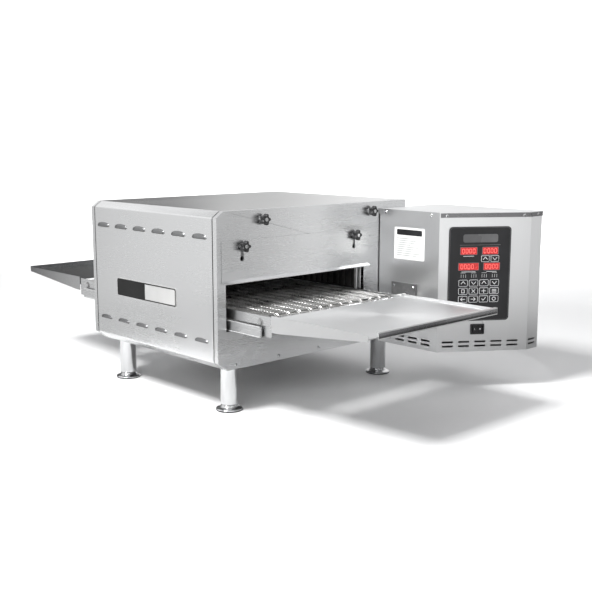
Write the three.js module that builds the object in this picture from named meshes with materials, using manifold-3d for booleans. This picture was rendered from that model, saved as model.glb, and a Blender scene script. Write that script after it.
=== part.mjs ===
// Countertop conveyor pizza oven: a steel box on four legs, a wire belt that runs
// right through it, an extension tray at each end and a control head on the exit end.
// Millimetres, +Z up, +X towards the exit end, origin on the counter under the middle.
import * as THREE from 'three';
import { mergeVertices } from 'three/addons/utils/BufferGeometryUtils.js';
import Module from 'manifold-3d';

const wasm = await Module();
wasm.setup();

// ---- driving sizes
const bodyLength = 508;              // along the belt, outside the end panels
const bodyWidth = 626;
const bodyTop = 457;
const bodyBottom = 102;
const overallWidth = 762;            // near side of the body to far side of the head
const louverProud = 5;
const sheet = 2;                     // folded panel thickness
const thin = 1.5;                    // trays, shutters and rails
const gap = 0.4;                     // clearance between fitted pieces
const beltWidth = 402;
const beltTop = 239;
const beltThickness = 3.5;
const frameWidth = 416;
const beltOverhang = 134;            // conveyor frame beyond each end panel
const trayReach = 411;               // tray tip beyond each end panel

const halfLength = bodyLength / 2;
const nearY = -(overallWidth - louverProud) / 2;
const farY = nearY + bodyWidth;
const frameMidY = nearY + 39 + frameWidth / 2;

// ---- materials
const finish = (color, roughness, metalness) =>
  new THREE.MeshStandardMaterial({ color, roughness, metalness });
const brushed = finish(0xb9bbbd, 0.34, 1);
const polished = finish(0xd4d6d8, 0.16, 1);
const darkSteel = finish(0x55585b, 0.45, 1);
const wire = finish(0x9c9a96, 0.35, 1);
const blackPlastic = finish(0x141414, 0.42, 0);
const membrane = finish(0x26282a, 0.38, 0);
const wool = finish(0xd8cfae, 0.95, 0);
const whitePlastic = finish(0xe6e6e2, 0.45, 0);
const circuitGreen = finish(0x1f5a36, 0.5, 0);

// ---- solids
const solid = (geometry) => {
  const bare = geometry.index ? geometry.clone() : geometry;
  bare.deleteAttribute('normal');
  bare.deleteAttribute('uv');
  const merged = mergeVertices(bare, 1e-3);
  return new wasm.Manifold(new wasm.Mesh({
    numProp: 3,
    vertProperties: new Float32Array(merged.attributes.position.array),
    triVerts: new Uint32Array(merged.index.array),
  }));
};

const toGeometry = (body) => {
  const mesh = body.getMesh();
  const geometry = new THREE.BufferGeometry();
  geometry.setAttribute('position', new THREE.BufferAttribute(mesh.vertProperties, 3));
  geometry.setIndex(new THREE.BufferAttribute(mesh.triVerts, 1));
  return geometry;
};

const box = (x0, x1, y0, y1, z0, z1) => {
  const geometry = new THREE.BoxGeometry(x1 - x0, y1 - y0, z1 - z0);
  geometry.translate((x0 + x1) / 2, (y0 + y1) / 2, (z0 + z1) / 2);
  return solid(geometry);
};

// round bar along 'x', 'y' or 'z', starting at a point
const bar = (axis, x, y, z, radius, length, sides = 16) => {
  const geometry = new THREE.CylinderGeometry(radius, radius, length, sides);
  geometry.translate(0, length / 2, 0);
  if (axis === 'z') geometry.rotateX(Math.PI / 2);
  if (axis === 'x') geometry.rotateZ(-Math.PI / 2);
  geometry.translate(x, y, z);
  return solid(geometry);
};

// closed outline of [a, b] points, swept along an axis from one place to another:
// 'x' reads (y, z), 'y' reads (x, z), 'z' reads (x, y)
const prism = (axis, points, from, to) => {
  const shape = points instanceof THREE.Shape
    ? points
    : new THREE.Shape(points.map(([a, b]) => new THREE.Vector2(a, b)));
  const geometry = new THREE.ExtrudeGeometry(shape, {
    depth: to - from, bevelEnabled: false, curveSegments: 3,
  });
  geometry.translate(0, 0, from);
  const basis = new THREE.Matrix4();
  if (axis === 'x') basis.set(0, 0, 1, 0, 1, 0, 0, 0, 0, 1, 0, 0, 0, 0, 0, 1);
  if (axis === 'y') basis.set(1, 0, 0, 0, 0, 0, -1, 0, 0, 1, 0, 0, 0, 0, 0, 1);
  geometry.applyMatrix4(basis);
  if (axis === 'y') geometry.translate(0, from + to, 0);
  return solid(geometry);
};

const rounded = (x0, x1, y0, y1, radius) => {
  const shape = new THREE.Shape();
  shape.moveTo(x0 + radius, y0);
  shape.lineTo(x1 - radius, y0);
  shape.absarc(x1 - radius, y0 + radius, radius, -Math.PI / 2, 0);
  shape.lineTo(x1, y1 - radius);
  shape.absarc(x1 - radius, y1 - radius, radius, 0, Math.PI / 2);
  shape.lineTo(x0 + radius, y1);
  shape.absarc(x0 + radius, y1 - radius, radius, Math.PI / 2, Math.PI);
  shape.lineTo(x0, y0 + radius);
  shape.absarc(x0 + radius, y0 + radius, radius, Math.PI, Math.PI * 1.5);
  return shape;
};

const join = (parts) => parts.reduce((whole, piece) => whole.add(piece));
const cut = (whole, parts) => parts.reduce((left, piece) => left.subtract(piece), whole);
const range = (count) => Array.from({ length: count }, (unused, index) => index);

const oven = new THREE.Group();
oven.name = 'oven';

const place = (name, body, material, parent = oven, position = [0, 0, 0]) => {
  const mesh = new THREE.Mesh(toGeometry(body), material);
  mesh.name = name;
  mesh.position.set(...position);
  parent.add(mesh);
  return mesh;
};

// ---- body outline
const topChamfer = { across: 20, down: 14 };
const lowChamfer = { across: 26, up: 19.5 };

// end view of the body, drawn inwards by an inset
const bodyOutline = (inset) => [
  [nearY + inset, bodyBottom + lowChamfer.up + inset * 0.4],
  [nearY + lowChamfer.across + inset * 0.4, bodyBottom + inset],
  [farY - inset, bodyBottom + inset],
  [farY - inset, bodyTop - inset],
  [nearY + topChamfer.across + inset * 0.4, bodyTop - inset],
  [nearY + inset, bodyTop - topChamfer.down - inset * 0.4],
];

const flangeDepth = 13;
const seam = 1.2;                    // open joint between the side cover and the end panels
const coverHalf = halfLength - flangeDepth - seam;
const seamNear = nearY + topChamfer.across + 4;

const shell = prism('x', bodyOutline(0), -coverHalf, coverHalf)
  .subtract(prism('x', bodyOutline(sheet), -bodyLength, bodyLength));

// ---- vent louvers
const louvers = { count: 6, pitch: 78.6, first: 34 };
const louverRows = [
  { width: 54, height: 11, low: 396 },
  { width: 50, height: 9, low: 163 },
];

const ellipsoid = (x, y, z, rx, ry, rz) => {
  const geometry = new THREE.SphereGeometry(1, 10, 6);
  geometry.scale(rx, ry, rz);
  geometry.translate(x, y, z);
  return solid(geometry);
};

const louverAt = (row, index) => {
  const x = halfLength - louvers.first - row.width / 2 - index * louvers.pitch;
  const half = row.width / 2;
  const above = box(x - half, x + half, nearY - 20, nearY + 20, row.low, row.low + 20);
  const outer = ellipsoid(x, nearY + sheet, row.low, half, louverProud + sheet, row.height);
  const inner = ellipsoid(x, nearY + sheet, row.low, half - thin,
    louverProud + sheet - thin, row.height - thin);
  const behind = box(x - half, x + half, nearY + sheet, nearY + 20, row.low - 1, row.low + 20);
  return {
    hood: outer.intersect(above).subtract(behind),
    mouth: inner.intersect(above),
  };
};

const louverCuts = louverRows.flatMap((row) => range(louvers.count)
  .map((index) => louverAt(row, index)));

const nearStrip = shell.intersect(
  box(-bodyLength, bodyLength, nearY - 1, seamNear - gap, bodyBottom - 1, bodyTop + 1));
const lowSeam = nearY + lowChamfer.across + 4;
const nearTrim = box(-bodyLength, bodyLength, lowSeam - gap, seamNear + 20,
  bodyBottom - 1, bodyBottom + 20);
const nearCover = cut(
  join([nearStrip.subtract(nearTrim), ...louverCuts.map((louver) => louver.hood)]),
  louverCuts.map((louver) => louver.mouth));
place('side_cover_near', nearCover, brushed);

place('top_cover', shell.intersect(
  box(-bodyLength, bodyLength, seamNear, farY - sheet - gap, bodyTop - 10, bodyTop + 1)), brushed);
place('base_pan', box(-coverHalf, coverHalf, lowSeam, farY - sheet - gap,
  bodyBottom, bodyBottom + sheet), darkSteel);
place('side_cover_far', box(-coverHalf, coverHalf, farY - sheet, farY, bodyBottom, bodyTop), brushed);

// ---- end panels
const opening = { y0: nearY + 24, y1: nearY + 470, z0: 190, z1: 342 };
const knobSpots = {
  shutter: [[nearY + 70, 378], [nearY + 430, 378]],
  panel: [[nearY + 129, 434], [nearY + 489, 434]],
};
const stud = 3;

const endPan = () => {
  const face = prism('x', bodyOutline(0), halfLength - flangeDepth, halfLength)
    .subtract(prism('x', bodyOutline(sheet), halfLength - flangeDepth - 1, halfLength - sheet));
  const mouth = box(halfLength - 40, halfLength + 10, opening.y0, opening.y1,
    opening.z0, opening.z1);
  const holes = [...knobSpots.shutter, ...knobSpots.panel]
    .map(([y, z]) => bar('x', halfLength - 20, y, z, stud + 0.5, 40, 16));
  return cut(face, [mouth, ...holes]);
};

const mirrored = (body) => body.mirror([1, 0, 0]);
place('exit_end_panel', endPan(), brushed);
place('entry_end_panel', mirrored(endPan()), brushed);

// ---- shutters
const shutter = {
  y0: nearY + 12, y1: nearY + 484, z0: 303, z1: 392, lip: 8, drop: 6, slotLow: 28, slotHalf: 4.2, keyhole: 6,
};
const shutterX = halfLength + 0.5;

const shutterSolid = () => {
  const blade = prism('y', [
    [shutterX, shutter.z0], [shutterX + shutter.lip, shutter.z0 - shutter.drop],
    [shutterX + shutter.lip, shutter.z0 - shutter.drop + 1.8], [shutterX + thin, shutter.z0 + 1],
    [shutterX + thin, shutter.z1], [shutterX, shutter.z1],
  ], shutter.y0, shutter.y1);
  const slots = knobSpots.shutter.map(([y, z]) => prism('x',
    rounded(y - shutter.slotHalf, y + shutter.slotHalf, z - shutter.slotLow - shutter.slotHalf,
      z + shutter.slotHalf, shutter.slotHalf - 0.1), halfLength - 5, halfLength + 20));
  const keyholes = knobSpots.shutter.map(([y, z]) =>
    bar('x', halfLength - 5, y, z - shutter.slotLow, shutter.keyhole, 25));
  return cut(blade, [...slots, ...keyholes]);
};
place('exit_shutter', shutterSolid(), brushed);
place('entry_shutter', mirrored(shutterSolid()), brushed);

// ---- star knobs
const knob = {
  radius: 13.5, lobe: 0.16, lobes: 5, depth: 12, sides: 20, collar: 3, collarRadius: 6.5, shank: 14, insert: 4.5,
};

const knobSolid = () => {
  const points = range(knob.sides).map((step) => {
    const angle = (step / knob.sides) * Math.PI * 2;
    const radius = knob.radius * (1 - knob.lobe + knob.lobe * Math.cos(knob.lobes * angle));
    return [radius * Math.cos(angle), radius * Math.sin(angle)];
  });
  const head = prism('x', points, knob.collar, knob.collar + knob.depth);
  const collar = bar('x', 0, 0, 0, knob.collarRadius, knob.collar + 0.2, 20);
  const shank = bar('x', -knob.shank, 0, 0, stud, knob.shank + 0.2, 16);
  const insert = bar('x', knob.collar, 0, 0, knob.insert, knob.depth + 1, 20);
  return join([head, collar, shank, insert]);
};

const knobBase = shutterX + thin + gap;
['exit', 'entry'].forEach((end, turn) => {
  ['shutter', 'panel'].forEach((use) => {
    knobSpots[use].forEach(([y, z], index) => {
      const holder = new THREE.Group();
      holder.position.set(turn ? -knobBase : knobBase, y, z);
      holder.rotation.z = turn ? Math.PI : 0;
      oven.add(holder);
      place(`${end}_${use}_knob_${index + 1}`, knobSolid(), blackPlastic, holder);
    });
  });
});

// ---- baking chamber
const chamber = { half: 236, y0: nearY + 15, y1: nearY + 478, z0: 138, z1: 352 };
const chamberSheet = (name, x0, x1, y0, y1, z0, z1) =>
  place(name, box(x0, x1, y0, y1, z0, z1), darkSteel);
chamberSheet('chamber_floor', -chamber.half, chamber.half, chamber.y0, chamber.y1,
  chamber.z0, chamber.z0 + thin);
chamberSheet('chamber_roof', -chamber.half, chamber.half, chamber.y0, chamber.y1,
  chamber.z1 - thin, chamber.z1);
chamberSheet('chamber_wall_near', -chamber.half, chamber.half, chamber.y0, chamber.y0 + thin,
  chamber.z0 + thin + gap, chamber.z1 - thin - gap);
const blower = {
  z: 250, radius: 62, start: chamber.y1 + 8, depth: 26, disc: 3, hub: 12, blades: 8, blade: 30, shaft: 4,
};
const shaftHole = bar('y', 0, chamber.y1 - 10, blower.z, 26, 20);
place('chamber_wall_far', box(-chamber.half, chamber.half, chamber.y1 - thin, chamber.y1,
  chamber.z0 + thin + gap, chamber.z1 - thin - gap).subtract(shaftHole), darkSteel);

const woolTop = bodyTop - 17;
const woolFar = farY - 20;
place('insulation_top', box(-chamber.half, chamber.half, chamber.y0, woolFar,
  chamber.z1 + gap, woolTop), wool);
place('insulation_bottom', box(-chamber.half, chamber.half, chamber.y0 + 20, woolFar,
  bodyBottom + sheet + gap, chamber.z0 - gap), wool);

// air ducts blow down and up on the belt through rows of nozzles, and open at the far end
const duct = { half: 200, y0: chamber.y0 + 8, y1: chamber.y1 - 30, upper: [308, 330], lower: [160, 184] };
const nozzle = { radius: 9, rows: 3, columns: 4, rowPitch: 140, columnPitch: 100, firstRow: 82 };
const ductSolid = (z0, z1, openFace) => {
  const outer = box(-duct.half, duct.half, duct.y0, duct.y1, z0, z1);
  const inner = box(-duct.half + sheet, duct.half - sheet, duct.y0 + sheet, duct.y1 + 10,
    z0 + thin, z1 - thin);
  const firstColumn = -nozzle.columnPitch * (nozzle.columns - 1) / 2;
  const nozzles = range(nozzle.rows).flatMap((row) => range(nozzle.columns).map((column) =>
    bar('z', firstColumn + column * nozzle.columnPitch, duct.y0 + nozzle.firstRow + row * nozzle.rowPitch,
      openFace - 6, nozzle.radius, 12, 8)));
  return cut(outer, [inner, ...nozzles]);
};
place('upper_air_duct', ductSolid(...duct.upper, duct.upper[0]), darkSteel);
place('lower_air_duct', ductSolid(...duct.lower, duct.lower[1]), darkSteel);

// heaters: hairpin rods held across the chamber
const heater = {
  passes: 6, pitch: 60, rod: 3.5, y0: chamber.y0 + 40, y1: chamber.y1 - 50, upper: 340, lower: 150,
};
const heaterSolid = (z) => {
  const corners = range(heater.passes).flatMap((pass) => {
    const x = heater.pitch * (pass - (heater.passes - 1) / 2);
    const turns = pass % 2 ? [heater.y1, heater.y0] : [heater.y0, heater.y1];
    return turns.map((y) => new THREE.Vector3(x, y, z));
  });
  const route = new THREE.CatmullRomCurve3(corners, false, 'catmullrom', 0.12);
  const section = new THREE.Shape();
  section.absarc(0, 0, heater.rod, 0, Math.PI * 2);
  return solid(new THREE.ExtrudeGeometry(section, {
    steps: 42, bevelEnabled: false, extrudePath: route, curveSegments: 2,
  }));
};
place('upper_heater', heaterSolid(heater.upper), darkSteel);
place('lower_heater', heaterSolid(heater.lower), darkSteel);

// ---- circulation blower
const wheelSolid = () => {
  const disc = bar('y', 0, blower.start, blower.z, blower.radius, blower.disc, 32);
  const hub = bar('y', 0, blower.start - 3, blower.z, blower.hub, blower.depth + 3, 20);
  const blades = range(blower.blades).map((index) => {
    const angle = (index / blower.blades) * Math.PI * 2;
    const geometry = new THREE.BoxGeometry(blower.disc, blower.depth, blower.blade);
    geometry.translate(0, blower.start + blower.depth / 2, blower.radius - 3 - blower.blade / 2);
    geometry.rotateY(angle);
    geometry.translate(0, 0, blower.z);
    return solid(geometry);
  });
  const bore = bar('y', 0, blower.start - 10, blower.z, blower.shaft + gap, 60, 16);
  return cut(join([disc, hub, ...blades]), [bore]);
};
place('blower_wheel', wheelSolid(), darkSteel);

// the motor hangs on a channel bracket against the far side cover
const blowerMotor = { start: blower.start + blower.depth + 4, radius: 42, length: 72, half: 60, tall: 52 };
const plateY = blowerMotor.start + blowerMotor.length;
place('blower_motor', join([
  bar('y', 0, blowerMotor.start, blower.z, blowerMotor.radius, blowerMotor.length + 1, 28),
  bar('y', 0, blower.start, blower.z, blower.shaft, 40, 16),
  box(-blowerMotor.half, blowerMotor.half, plateY, plateY + 4,
    blower.z - blowerMotor.tall, blower.z + blowerMotor.tall),
  ...[-blowerMotor.half, blowerMotor.half - 4].map((x) => box(x, x + 4, plateY, farY - sheet - gap,
    blower.z - blowerMotor.tall, blower.z + blowerMotor.tall)),
]), darkSteel);

// ---- conveyor
const shaft = { reach: 98, z: 225, radius: 5, sprocket: 10, teeth: 8, sprocketWidth: 6, bushOuter: 9 };
const beltOuter = beltTop - shaft.z;
const railY = [frameMidY - frameWidth / 2, frameMidY + frameWidth / 2 - sheet];
const shaftX = halfLength + shaft.reach;
const frameHalf = halfLength + beltOverhang;
const endPlateFrom = halfLength + 84;
const rail = { low: 217.5, top: beltTop + 1, endLow: 195.5 };
const support = { count: 5, pitch: 120, half: 5, z0: 221, z1: 231 };
const hookRod = { x: halfLength + 124, z: 226, radius: 4 };

const frameSolid = () => {
  const rails = railY.flatMap((y) => [
    box(-frameHalf, frameHalf, y, y + sheet, rail.low, rail.top),
    box(endPlateFrom, frameHalf, y, y + sheet, rail.endLow, rail.top),
    box(-frameHalf, -endPlateFrom, y, y + sheet, rail.endLow, rail.top),
  ]);
  const acrossFrom = railY[0] + 0.5;
  const across = frameWidth - 1;
  const supports = range(support.count).map((index) => {
    const x = support.pitch * (index - (support.count - 1) / 2);
    return box(x - support.half, x + support.half, acrossFrom, acrossFrom + across,
      support.z0, support.z1);
  });
  const rods = [-1, 1].map((side) =>
    bar('y', side * hookRod.x, acrossFrom, hookRod.z, hookRod.radius, across, 16));
  const seats = [-1, 1].map((side) =>
    bar('y', side * shaftX, railY[0] - 20, shaft.z, shaft.bushOuter + 0.3, frameWidth + 40));
  return cut(join([...rails, ...supports, ...rods]), seats);
};
place('conveyor_frame', frameSolid(), brushed);

const loopOutline = (radius) => {
  const shape = new THREE.Shape();
  shape.moveTo(-shaftX, shaft.z - radius);
  shape.lineTo(shaftX, shaft.z - radius);
  shape.absarc(shaftX, shaft.z, radius, -Math.PI / 2, Math.PI / 2);
  shape.lineTo(-shaftX, shaft.z + radius);
  shape.absarc(-shaftX, shaft.z, radius, Math.PI / 2, Math.PI * 1.5);
  return shape;
};
const beltY = frameMidY - beltWidth / 2;
place('wire_belt', prism('y', loopOutline(beltOuter), beltY, beltY + beltWidth)
  .subtract(prism('y', loopOutline(beltOuter - beltThickness), beltY - 1, beltY + beltWidth + 1)),
wire);

const sprocketDisc = (y) => {
  const points = range(shaft.teeth * 2).map((step) => {
    const angle = (step / (shaft.teeth * 2)) * Math.PI * 2;
    const radius = step % 2 ? shaft.sprocket - 1.6 : shaft.sprocket;
    return [radius * Math.cos(angle), shaft.z + radius * Math.sin(angle)];
  });
  return prism('y', points, y, y + shaft.sprocketWidth);
};
const sprockets = range(3).map((index) => sprocketDisc(beltY + 40 + index * 158));
const headY = nearY + 524;
// the drive shaft runs on through the head's wall into the gear motor
const shaftEnds = { from: railY[0] - 3, drive: headY + 20, idle: railY[1] + 6 };
const shaftWith = (end) => join([
  bar('y', 0, shaftEnds.from, shaft.z, shaft.radius, end - shaftEnds.from), ...sprockets]);
place('drive_shaft', shaftWith(shaftEnds.drive), polished, oven, [shaftX, 0, 0]);
place('idler_shaft', shaftWith(shaftEnds.idle), polished, oven, [-shaftX, 0, 0]);

const bushSolid = (y) => cut(bar('y', 0, y, shaft.z, shaft.bushOuter, sheet + 1.4), [
  bar('y', 0, y - 5, shaft.z, shaft.radius + 0.3, 20),
]);
place('drive_bush_near', bushSolid(railY[0] - 0.7), whitePlastic, oven, [shaftX, 0, 0]);
place('drive_bush_far', bushSolid(railY[1] - 0.7), whitePlastic, oven, [shaftX, 0, 0]);
place('idler_bush_near', bushSolid(railY[0] - 0.7), whitePlastic, oven, [-shaftX, 0, 0]);
place('idler_bush_far', bushSolid(railY[1] - 0.7), whitePlastic, oven, [-shaftX, 0, 0]);

// ---- trays
// both ends are the same pieces, the entry set turned half round about the belt's middle
const ends = ['exit', 'entry'].map((name, turn) => {
  const group = new THREE.Group();
  group.position.set(0, frameMidY, 0);
  group.rotation.z = turn ? Math.PI : 0;
  oven.add(group);
  return { name, group };
});

// flat deck between deep side flanges that taper outwards, a hemmed lip at the tip, and a hooked
// ear inside each rail that drops over the hook rod
const tray = { deck: 236, flangeTop: 244, deep: 208, straight: 18, tipLow: 231, lipTop: 246, hem: 7 };
const traySolid = () => {
  const outer = frameWidth / 2 + 2.5;
  const from = frameHalf + 2;
  const tip = halfLength + trayReach;
  const floor = box(from, tip, -outer, outer, tray.deck, tray.deck + thin);
  const side = [
    [from, tray.flangeTop], [from, tray.deep], [from + tray.straight, tray.deep], [tip, tray.tipLow],
    [tip, tray.flangeTop],
  ];
  const sides = [-outer, outer - thin].map((y) => prism('y', side, y, y + thin));
  const hemLow = tray.lipTop - thin;
  const lip = prism('y', [
    [tip, tray.tipLow], [tip, tray.lipTop], [tip - tray.hem, tray.lipTop], [tip - tray.hem, hemLow],
    [tip - thin, hemLow], [tip - thin, tray.tipLow],
  ], -outer + 30, outer);
  const slot = hookRod.radius + 0.6;
  const slotTop = hookRod.z + slot + 0.2;
  const earLow = hookRod.z - hookRod.radius;
  const earTop = rail.top;
  const ear = [
    [hookRod.x - 9, earTop], [hookRod.x - 9, earLow], [hookRod.x - slot, earLow],
    [hookRod.x - slot, slotTop], [hookRod.x + slot, slotTop], [hookRod.x + slot, earLow],
    [from + 8, earLow], [from + 8, earTop],
  ];
  const inside = frameWidth / 2 - sheet - 1;
  const ears = [-inside, inside - thin].map((y) => prism('y', ear, y, y + thin));
  return join([floor, ...sides, lip, ...ears]);
};

// the pan hangs wider than the rails, and its front wall is notched to pass their end plates
const crumb = { from: 22, to: halfLength + 107, z0: 192.5, wall: 217, front: 206, half: 216 };
const crumbSolid = () => {
  const pan = box(crumb.from, crumb.to, -crumb.half, crumb.half, crumb.z0, crumb.wall);
  const inside = box(crumb.from + thin, crumb.to - thin, -crumb.half + thin, crumb.half - thin,
    crumb.z0 + thin, crumb.wall + 1);
  const lowEnds = box(crumb.from - 1, crumb.to + 1, -crumb.half + 12, crumb.half - 12,
    crumb.front, crumb.wall + 1);
  const plateMiddle = frameWidth / 2 - sheet / 2;
  const notches = [-1, 1].map((side) => box(crumb.to - 5, crumb.to + 1,
    side * plateMiddle - 5, side * plateMiddle + 5, crumb.z0 + thin, crumb.wall + 1));
  return cut(pan, [inside, lowEnds, ...notches]);
};

ends.forEach(({ name, group }) => {
  place(`${name}_tray`, traySolid(), name === 'exit' ? polished : brushed, group);
  place(`${name}_crumb_tray`, crumbSolid(), brushed, group);
});

// ---- legs and feet
const leg = { tube: 20.3, bottom: 15, bore: 8, boreDepth: 52 };
const foot = { radius: 31, rim: 7, neck: 19, height: 14.6, stem: 7.5, stemTop: 60 };
const legSpots = {
  exit_near: [halfLength - 33, nearY + 57],
  exit_far: [halfLength - 33, farY - 62],
  entry_near: [-halfLength + 60, nearY + 57],
  entry_far: [-halfLength + 60, farY - 62],
};

const turned = (profile, sides) => {
  const lathe = new THREE.LatheGeometry(profile.map(([r, z]) => new THREE.Vector2(r, z)), sides);
  lathe.rotateX(Math.PI / 2);
  return solid(lathe);
};

const legSolid = () => {
  const top = bodyBottom - 0.3;
  const boreTop = leg.bottom + leg.boreDepth;
  return turned([
    [0, boreTop], [leg.bore, boreTop], [leg.bore, leg.bottom], [leg.tube - 1, leg.bottom],
    [leg.tube, leg.bottom + 1], [leg.tube, top - 4], [leg.tube + 3, top - 3], [leg.tube + 3, top],
    [0, top],
  ], 20);
};

const footSolid = () => turned([
  [0, 0], [foot.radius - 2, 0], [foot.radius, 2], [foot.radius, foot.rim - 1],
  [foot.radius - 2, foot.rim + 1], [foot.neck + 2, foot.rim + 3], [foot.neck, foot.height],
  [foot.stem, foot.height], [foot.stem, foot.stemTop], [0, foot.stemTop],
], 20);

Object.entries(legSpots).forEach(([corner, [x, y]]) => {
  place(`leg_${corner}`, legSolid(), polished, oven, [x, y, 0]);
  place(`foot_${corner}`, footSolid(), polished, oven, [x, y, 0]);
});

// ---- control head
const head = { x0: halfLength + 1, faceA: 193, reach: 325, slopeY: 189, z0: 97, z1: 438.5 };
const lidDrop = 12.5;
const wallA = headY;
const cornerAB = [halfLength + head.faceA, wallA];
const cornerBC = [halfLength + head.reach, wallA + head.slopeY];
const farWall = nearY + overallWidth;

const headOutline = (inset) => {
  const slope = inset * 0.55;
  return [
    [head.x0 + inset, wallA + inset], [cornerAB[0] - slope, wallA + inset],
    [cornerBC[0] - inset, cornerBC[1] + slope * 0.6], [cornerBC[0] - inset, farWall - inset],
    [head.x0 + inset, farWall - inset],
  ];
};

const facing = new THREE.Group();          // stands on the sloping face, x along it, y outwards
const slopeAngle = Math.atan2(cornerBC[1] - cornerAB[1], cornerBC[0] - cornerAB[0]);
const slopeLength = Math.hypot(cornerBC[0] - cornerAB[0], cornerBC[1] - cornerAB[1]);
const onSlope = (body) => body
  .rotate([0, 0, (slopeAngle * 180) / Math.PI])
  .translate([cornerAB[0], cornerAB[1], 0]);
facing.position.set(cornerAB[0], cornerAB[1], 0);
facing.rotation.z = slopeAngle;
oven.add(facing);

const ventRows = [111, 121.5];
const vent = { width: 28, height: 4.5, pitch: 41.2, firstNear: 19, firstSlope: 14 };
const ventCuts = ventRows.flatMap((z) => [
  ...range(4).map((index) => {
    const x = halfLength + vent.firstNear + index * vent.pitch;
    return box(x, x + vent.width, wallA - 10, wallA + 10, z - vent.height / 2, z + vent.height / 2);
  }),
  ...range(5).map((index) => {
    const s = vent.firstSlope + index * vent.pitch;
    return onSlope(box(s, s + vent.width, -10, 10, z - vent.height / 2, z + vent.height / 2));
  }),
  box(cornerBC[0] - 10, cornerBC[0] + 10, nearY + 721, nearY + 749,
    z - vent.height / 2, z + vent.height / 2),
]);

const fan = { x: halfLength + 120, z: 300, radius: 38, half: 42, hub: 14, pin: 2.5, blades: 7 };
const fanHoles = range(5).map((index) => {
  const z = fan.z - 28 + index * 14;
  return box(fan.x - 30, fan.x + 30, farWall - 10, farWall + 10, z - 3, z + 3);
});
const gland = { y: farWall - 60, z: 140 };
const rocker = { s: 102, z: 153 };

const caseBody = () => {
  const outer = prism('z', headOutline(1.5), head.z0, head.z1 - sheet - gap);
  const inner = prism('z', headOutline(3.5), head.z0 + sheet, head.z1 + 5);
  return cut(outer, [
    inner, ...ventCuts, ...fanHoles,
    bar('y', shaftX, wallA - 10, shaft.z, 12, 30),
    bar('x', head.x0 - 10, gland.y, gland.z, 8.5, 30),
    onSlope(box(rocker.s - 15.4, rocker.s + 15.4, -10, 12, rocker.z - 11, rocker.z + 11)),
  ]);
};
place('control_case', caseBody(), brushed);

const lidBody = prism('z', headOutline(0), head.z1 - lidDrop, head.z1)
  .subtract(prism('z', headOutline(1.1), head.z1 - lidDrop - 1, head.z1 - sheet));
place('control_lid', lidBody, brushed);

// the case walls stand inside the lid, so pieces on the slope start from their plane
const slopeFace = 1.1;
const panel = { s0: 25, s1: 180, z0: 174, z1: 404 };
place('membrane_panel', prism('y', rounded(panel.s0, panel.s1, panel.z0, panel.z1, 9),
  slopeFace - 1.7, slopeFace - 0.4), membrane, facing);

const bezel = { rim: [17.5, 13], body: [15, 10.5], well: [14, 9.4], depth: 24 };
const around = ([half, tall]) => [rocker.s - half, rocker.s + half, rocker.z - tall, rocker.z + tall];
const blockAround = (size, y0, y1) => {
  const [s0, s1, z0, z1] = around(size);
  return box(s0, s1, y0, y1, z0, z1);
};
const bezelSolid = () => {
  const rim = prism('y', rounded(...around(bezel.rim), 2), slopeFace - 2.2, slopeFace - 0.4);
  const body = blockAround(bezel.body, slopeFace - 1, bezel.depth);
  return join([rim, body]).subtract(blockAround(bezel.well, -20, 20));
};
place('switch_bezel', bezelSolid(), blackPlastic, facing);

const rockerSolid = prism('z', [
  [-12.2, -4.6], [0, -1.6], [12.2, 0.6], [12, 4], [4, 12], [-4, 12], [-12, 2],
], -9, 9);
place('rocker', rockerSolid, blackPlastic, facing, [rocker.s, slopeFace - 0.2, rocker.z]);

// drive: bracket on the outside, gear motor inside, sleeve over the shaft end
const bracket = { x0: halfLength + 48, x1: halfLength + 126, z0: 212, z1: 258, boss: 12, bossLength: 8 };
const bracketSolid = () => cut(join([
  box(bracket.x0, bracket.x1, wallA - 2.5, wallA + 1.1, bracket.z0, bracket.z1),
  bar('y', shaftX, wallA - bracket.bossLength, shaft.z, bracket.boss, bracket.bossLength),
]), [bar('y', shaftX, wallA - 20, shaft.z, shaft.radius + 0.5, 40)]);
place('shaft_bracket', bracketSolid(), brushed);

const coupling = { from: railY[1] + 12, length: 48, radius: 9 };
place('shaft_coupling', cut(bar('y', 0, coupling.from, shaft.z, coupling.radius, coupling.length), [
  bar('y', 0, railY[1], shaft.z, shaft.radius + 0.15, 80),
]), whitePlastic, oven, [shaftX, 0, 0]);

const motor = { from: wallA + 3.9, box: 40, half: 34, radius: 28, length: 90 };
place('gear_motor', cut(join([
  box(shaftX - motor.half, shaftX + motor.half, motor.from, motor.from + motor.box,
    shaft.z - motor.half, shaft.z + motor.half),
  bar('y', shaftX, motor.from + motor.box - 1, shaft.z, motor.radius, motor.length - motor.box, 24),
]), [bar('y', shaftX, motor.from - 1, shaft.z, shaft.radius + gap, 20)]), darkSteel);

const board = { s0: 40, s1: 190, depth: 24, thick: 2, z0: 190, z1: 390 };
place('control_board', box(board.s0, board.s1, board.depth, board.depth + board.thick,
  board.z0, board.z1), circuitGreen, facing);

const fanBack = farWall - 32;
const fanFrame = box(fan.x - fan.half, fan.x + fan.half, fanBack, farWall - 5,
  fan.z - fan.half, fan.z + fan.half)
  .subtract(bar('y', fan.x, fanBack - 8, fan.z, fan.radius + 1.5, 40, 32));
const fanSpokes = join([
  box(fan.x - 40, fan.x + 40, fanBack, fanBack + 4, fan.z - 2, fan.z + 2),
  bar('y', fan.x, fanBack, fan.z, fan.hub, 4, 20),
  bar('y', fan.x, fanBack + 3.5, fan.z, fan.pin, 14, 12),
]);
place('cooling_fan_frame', join([fanFrame, fanSpokes]), blackPlastic);

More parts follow.
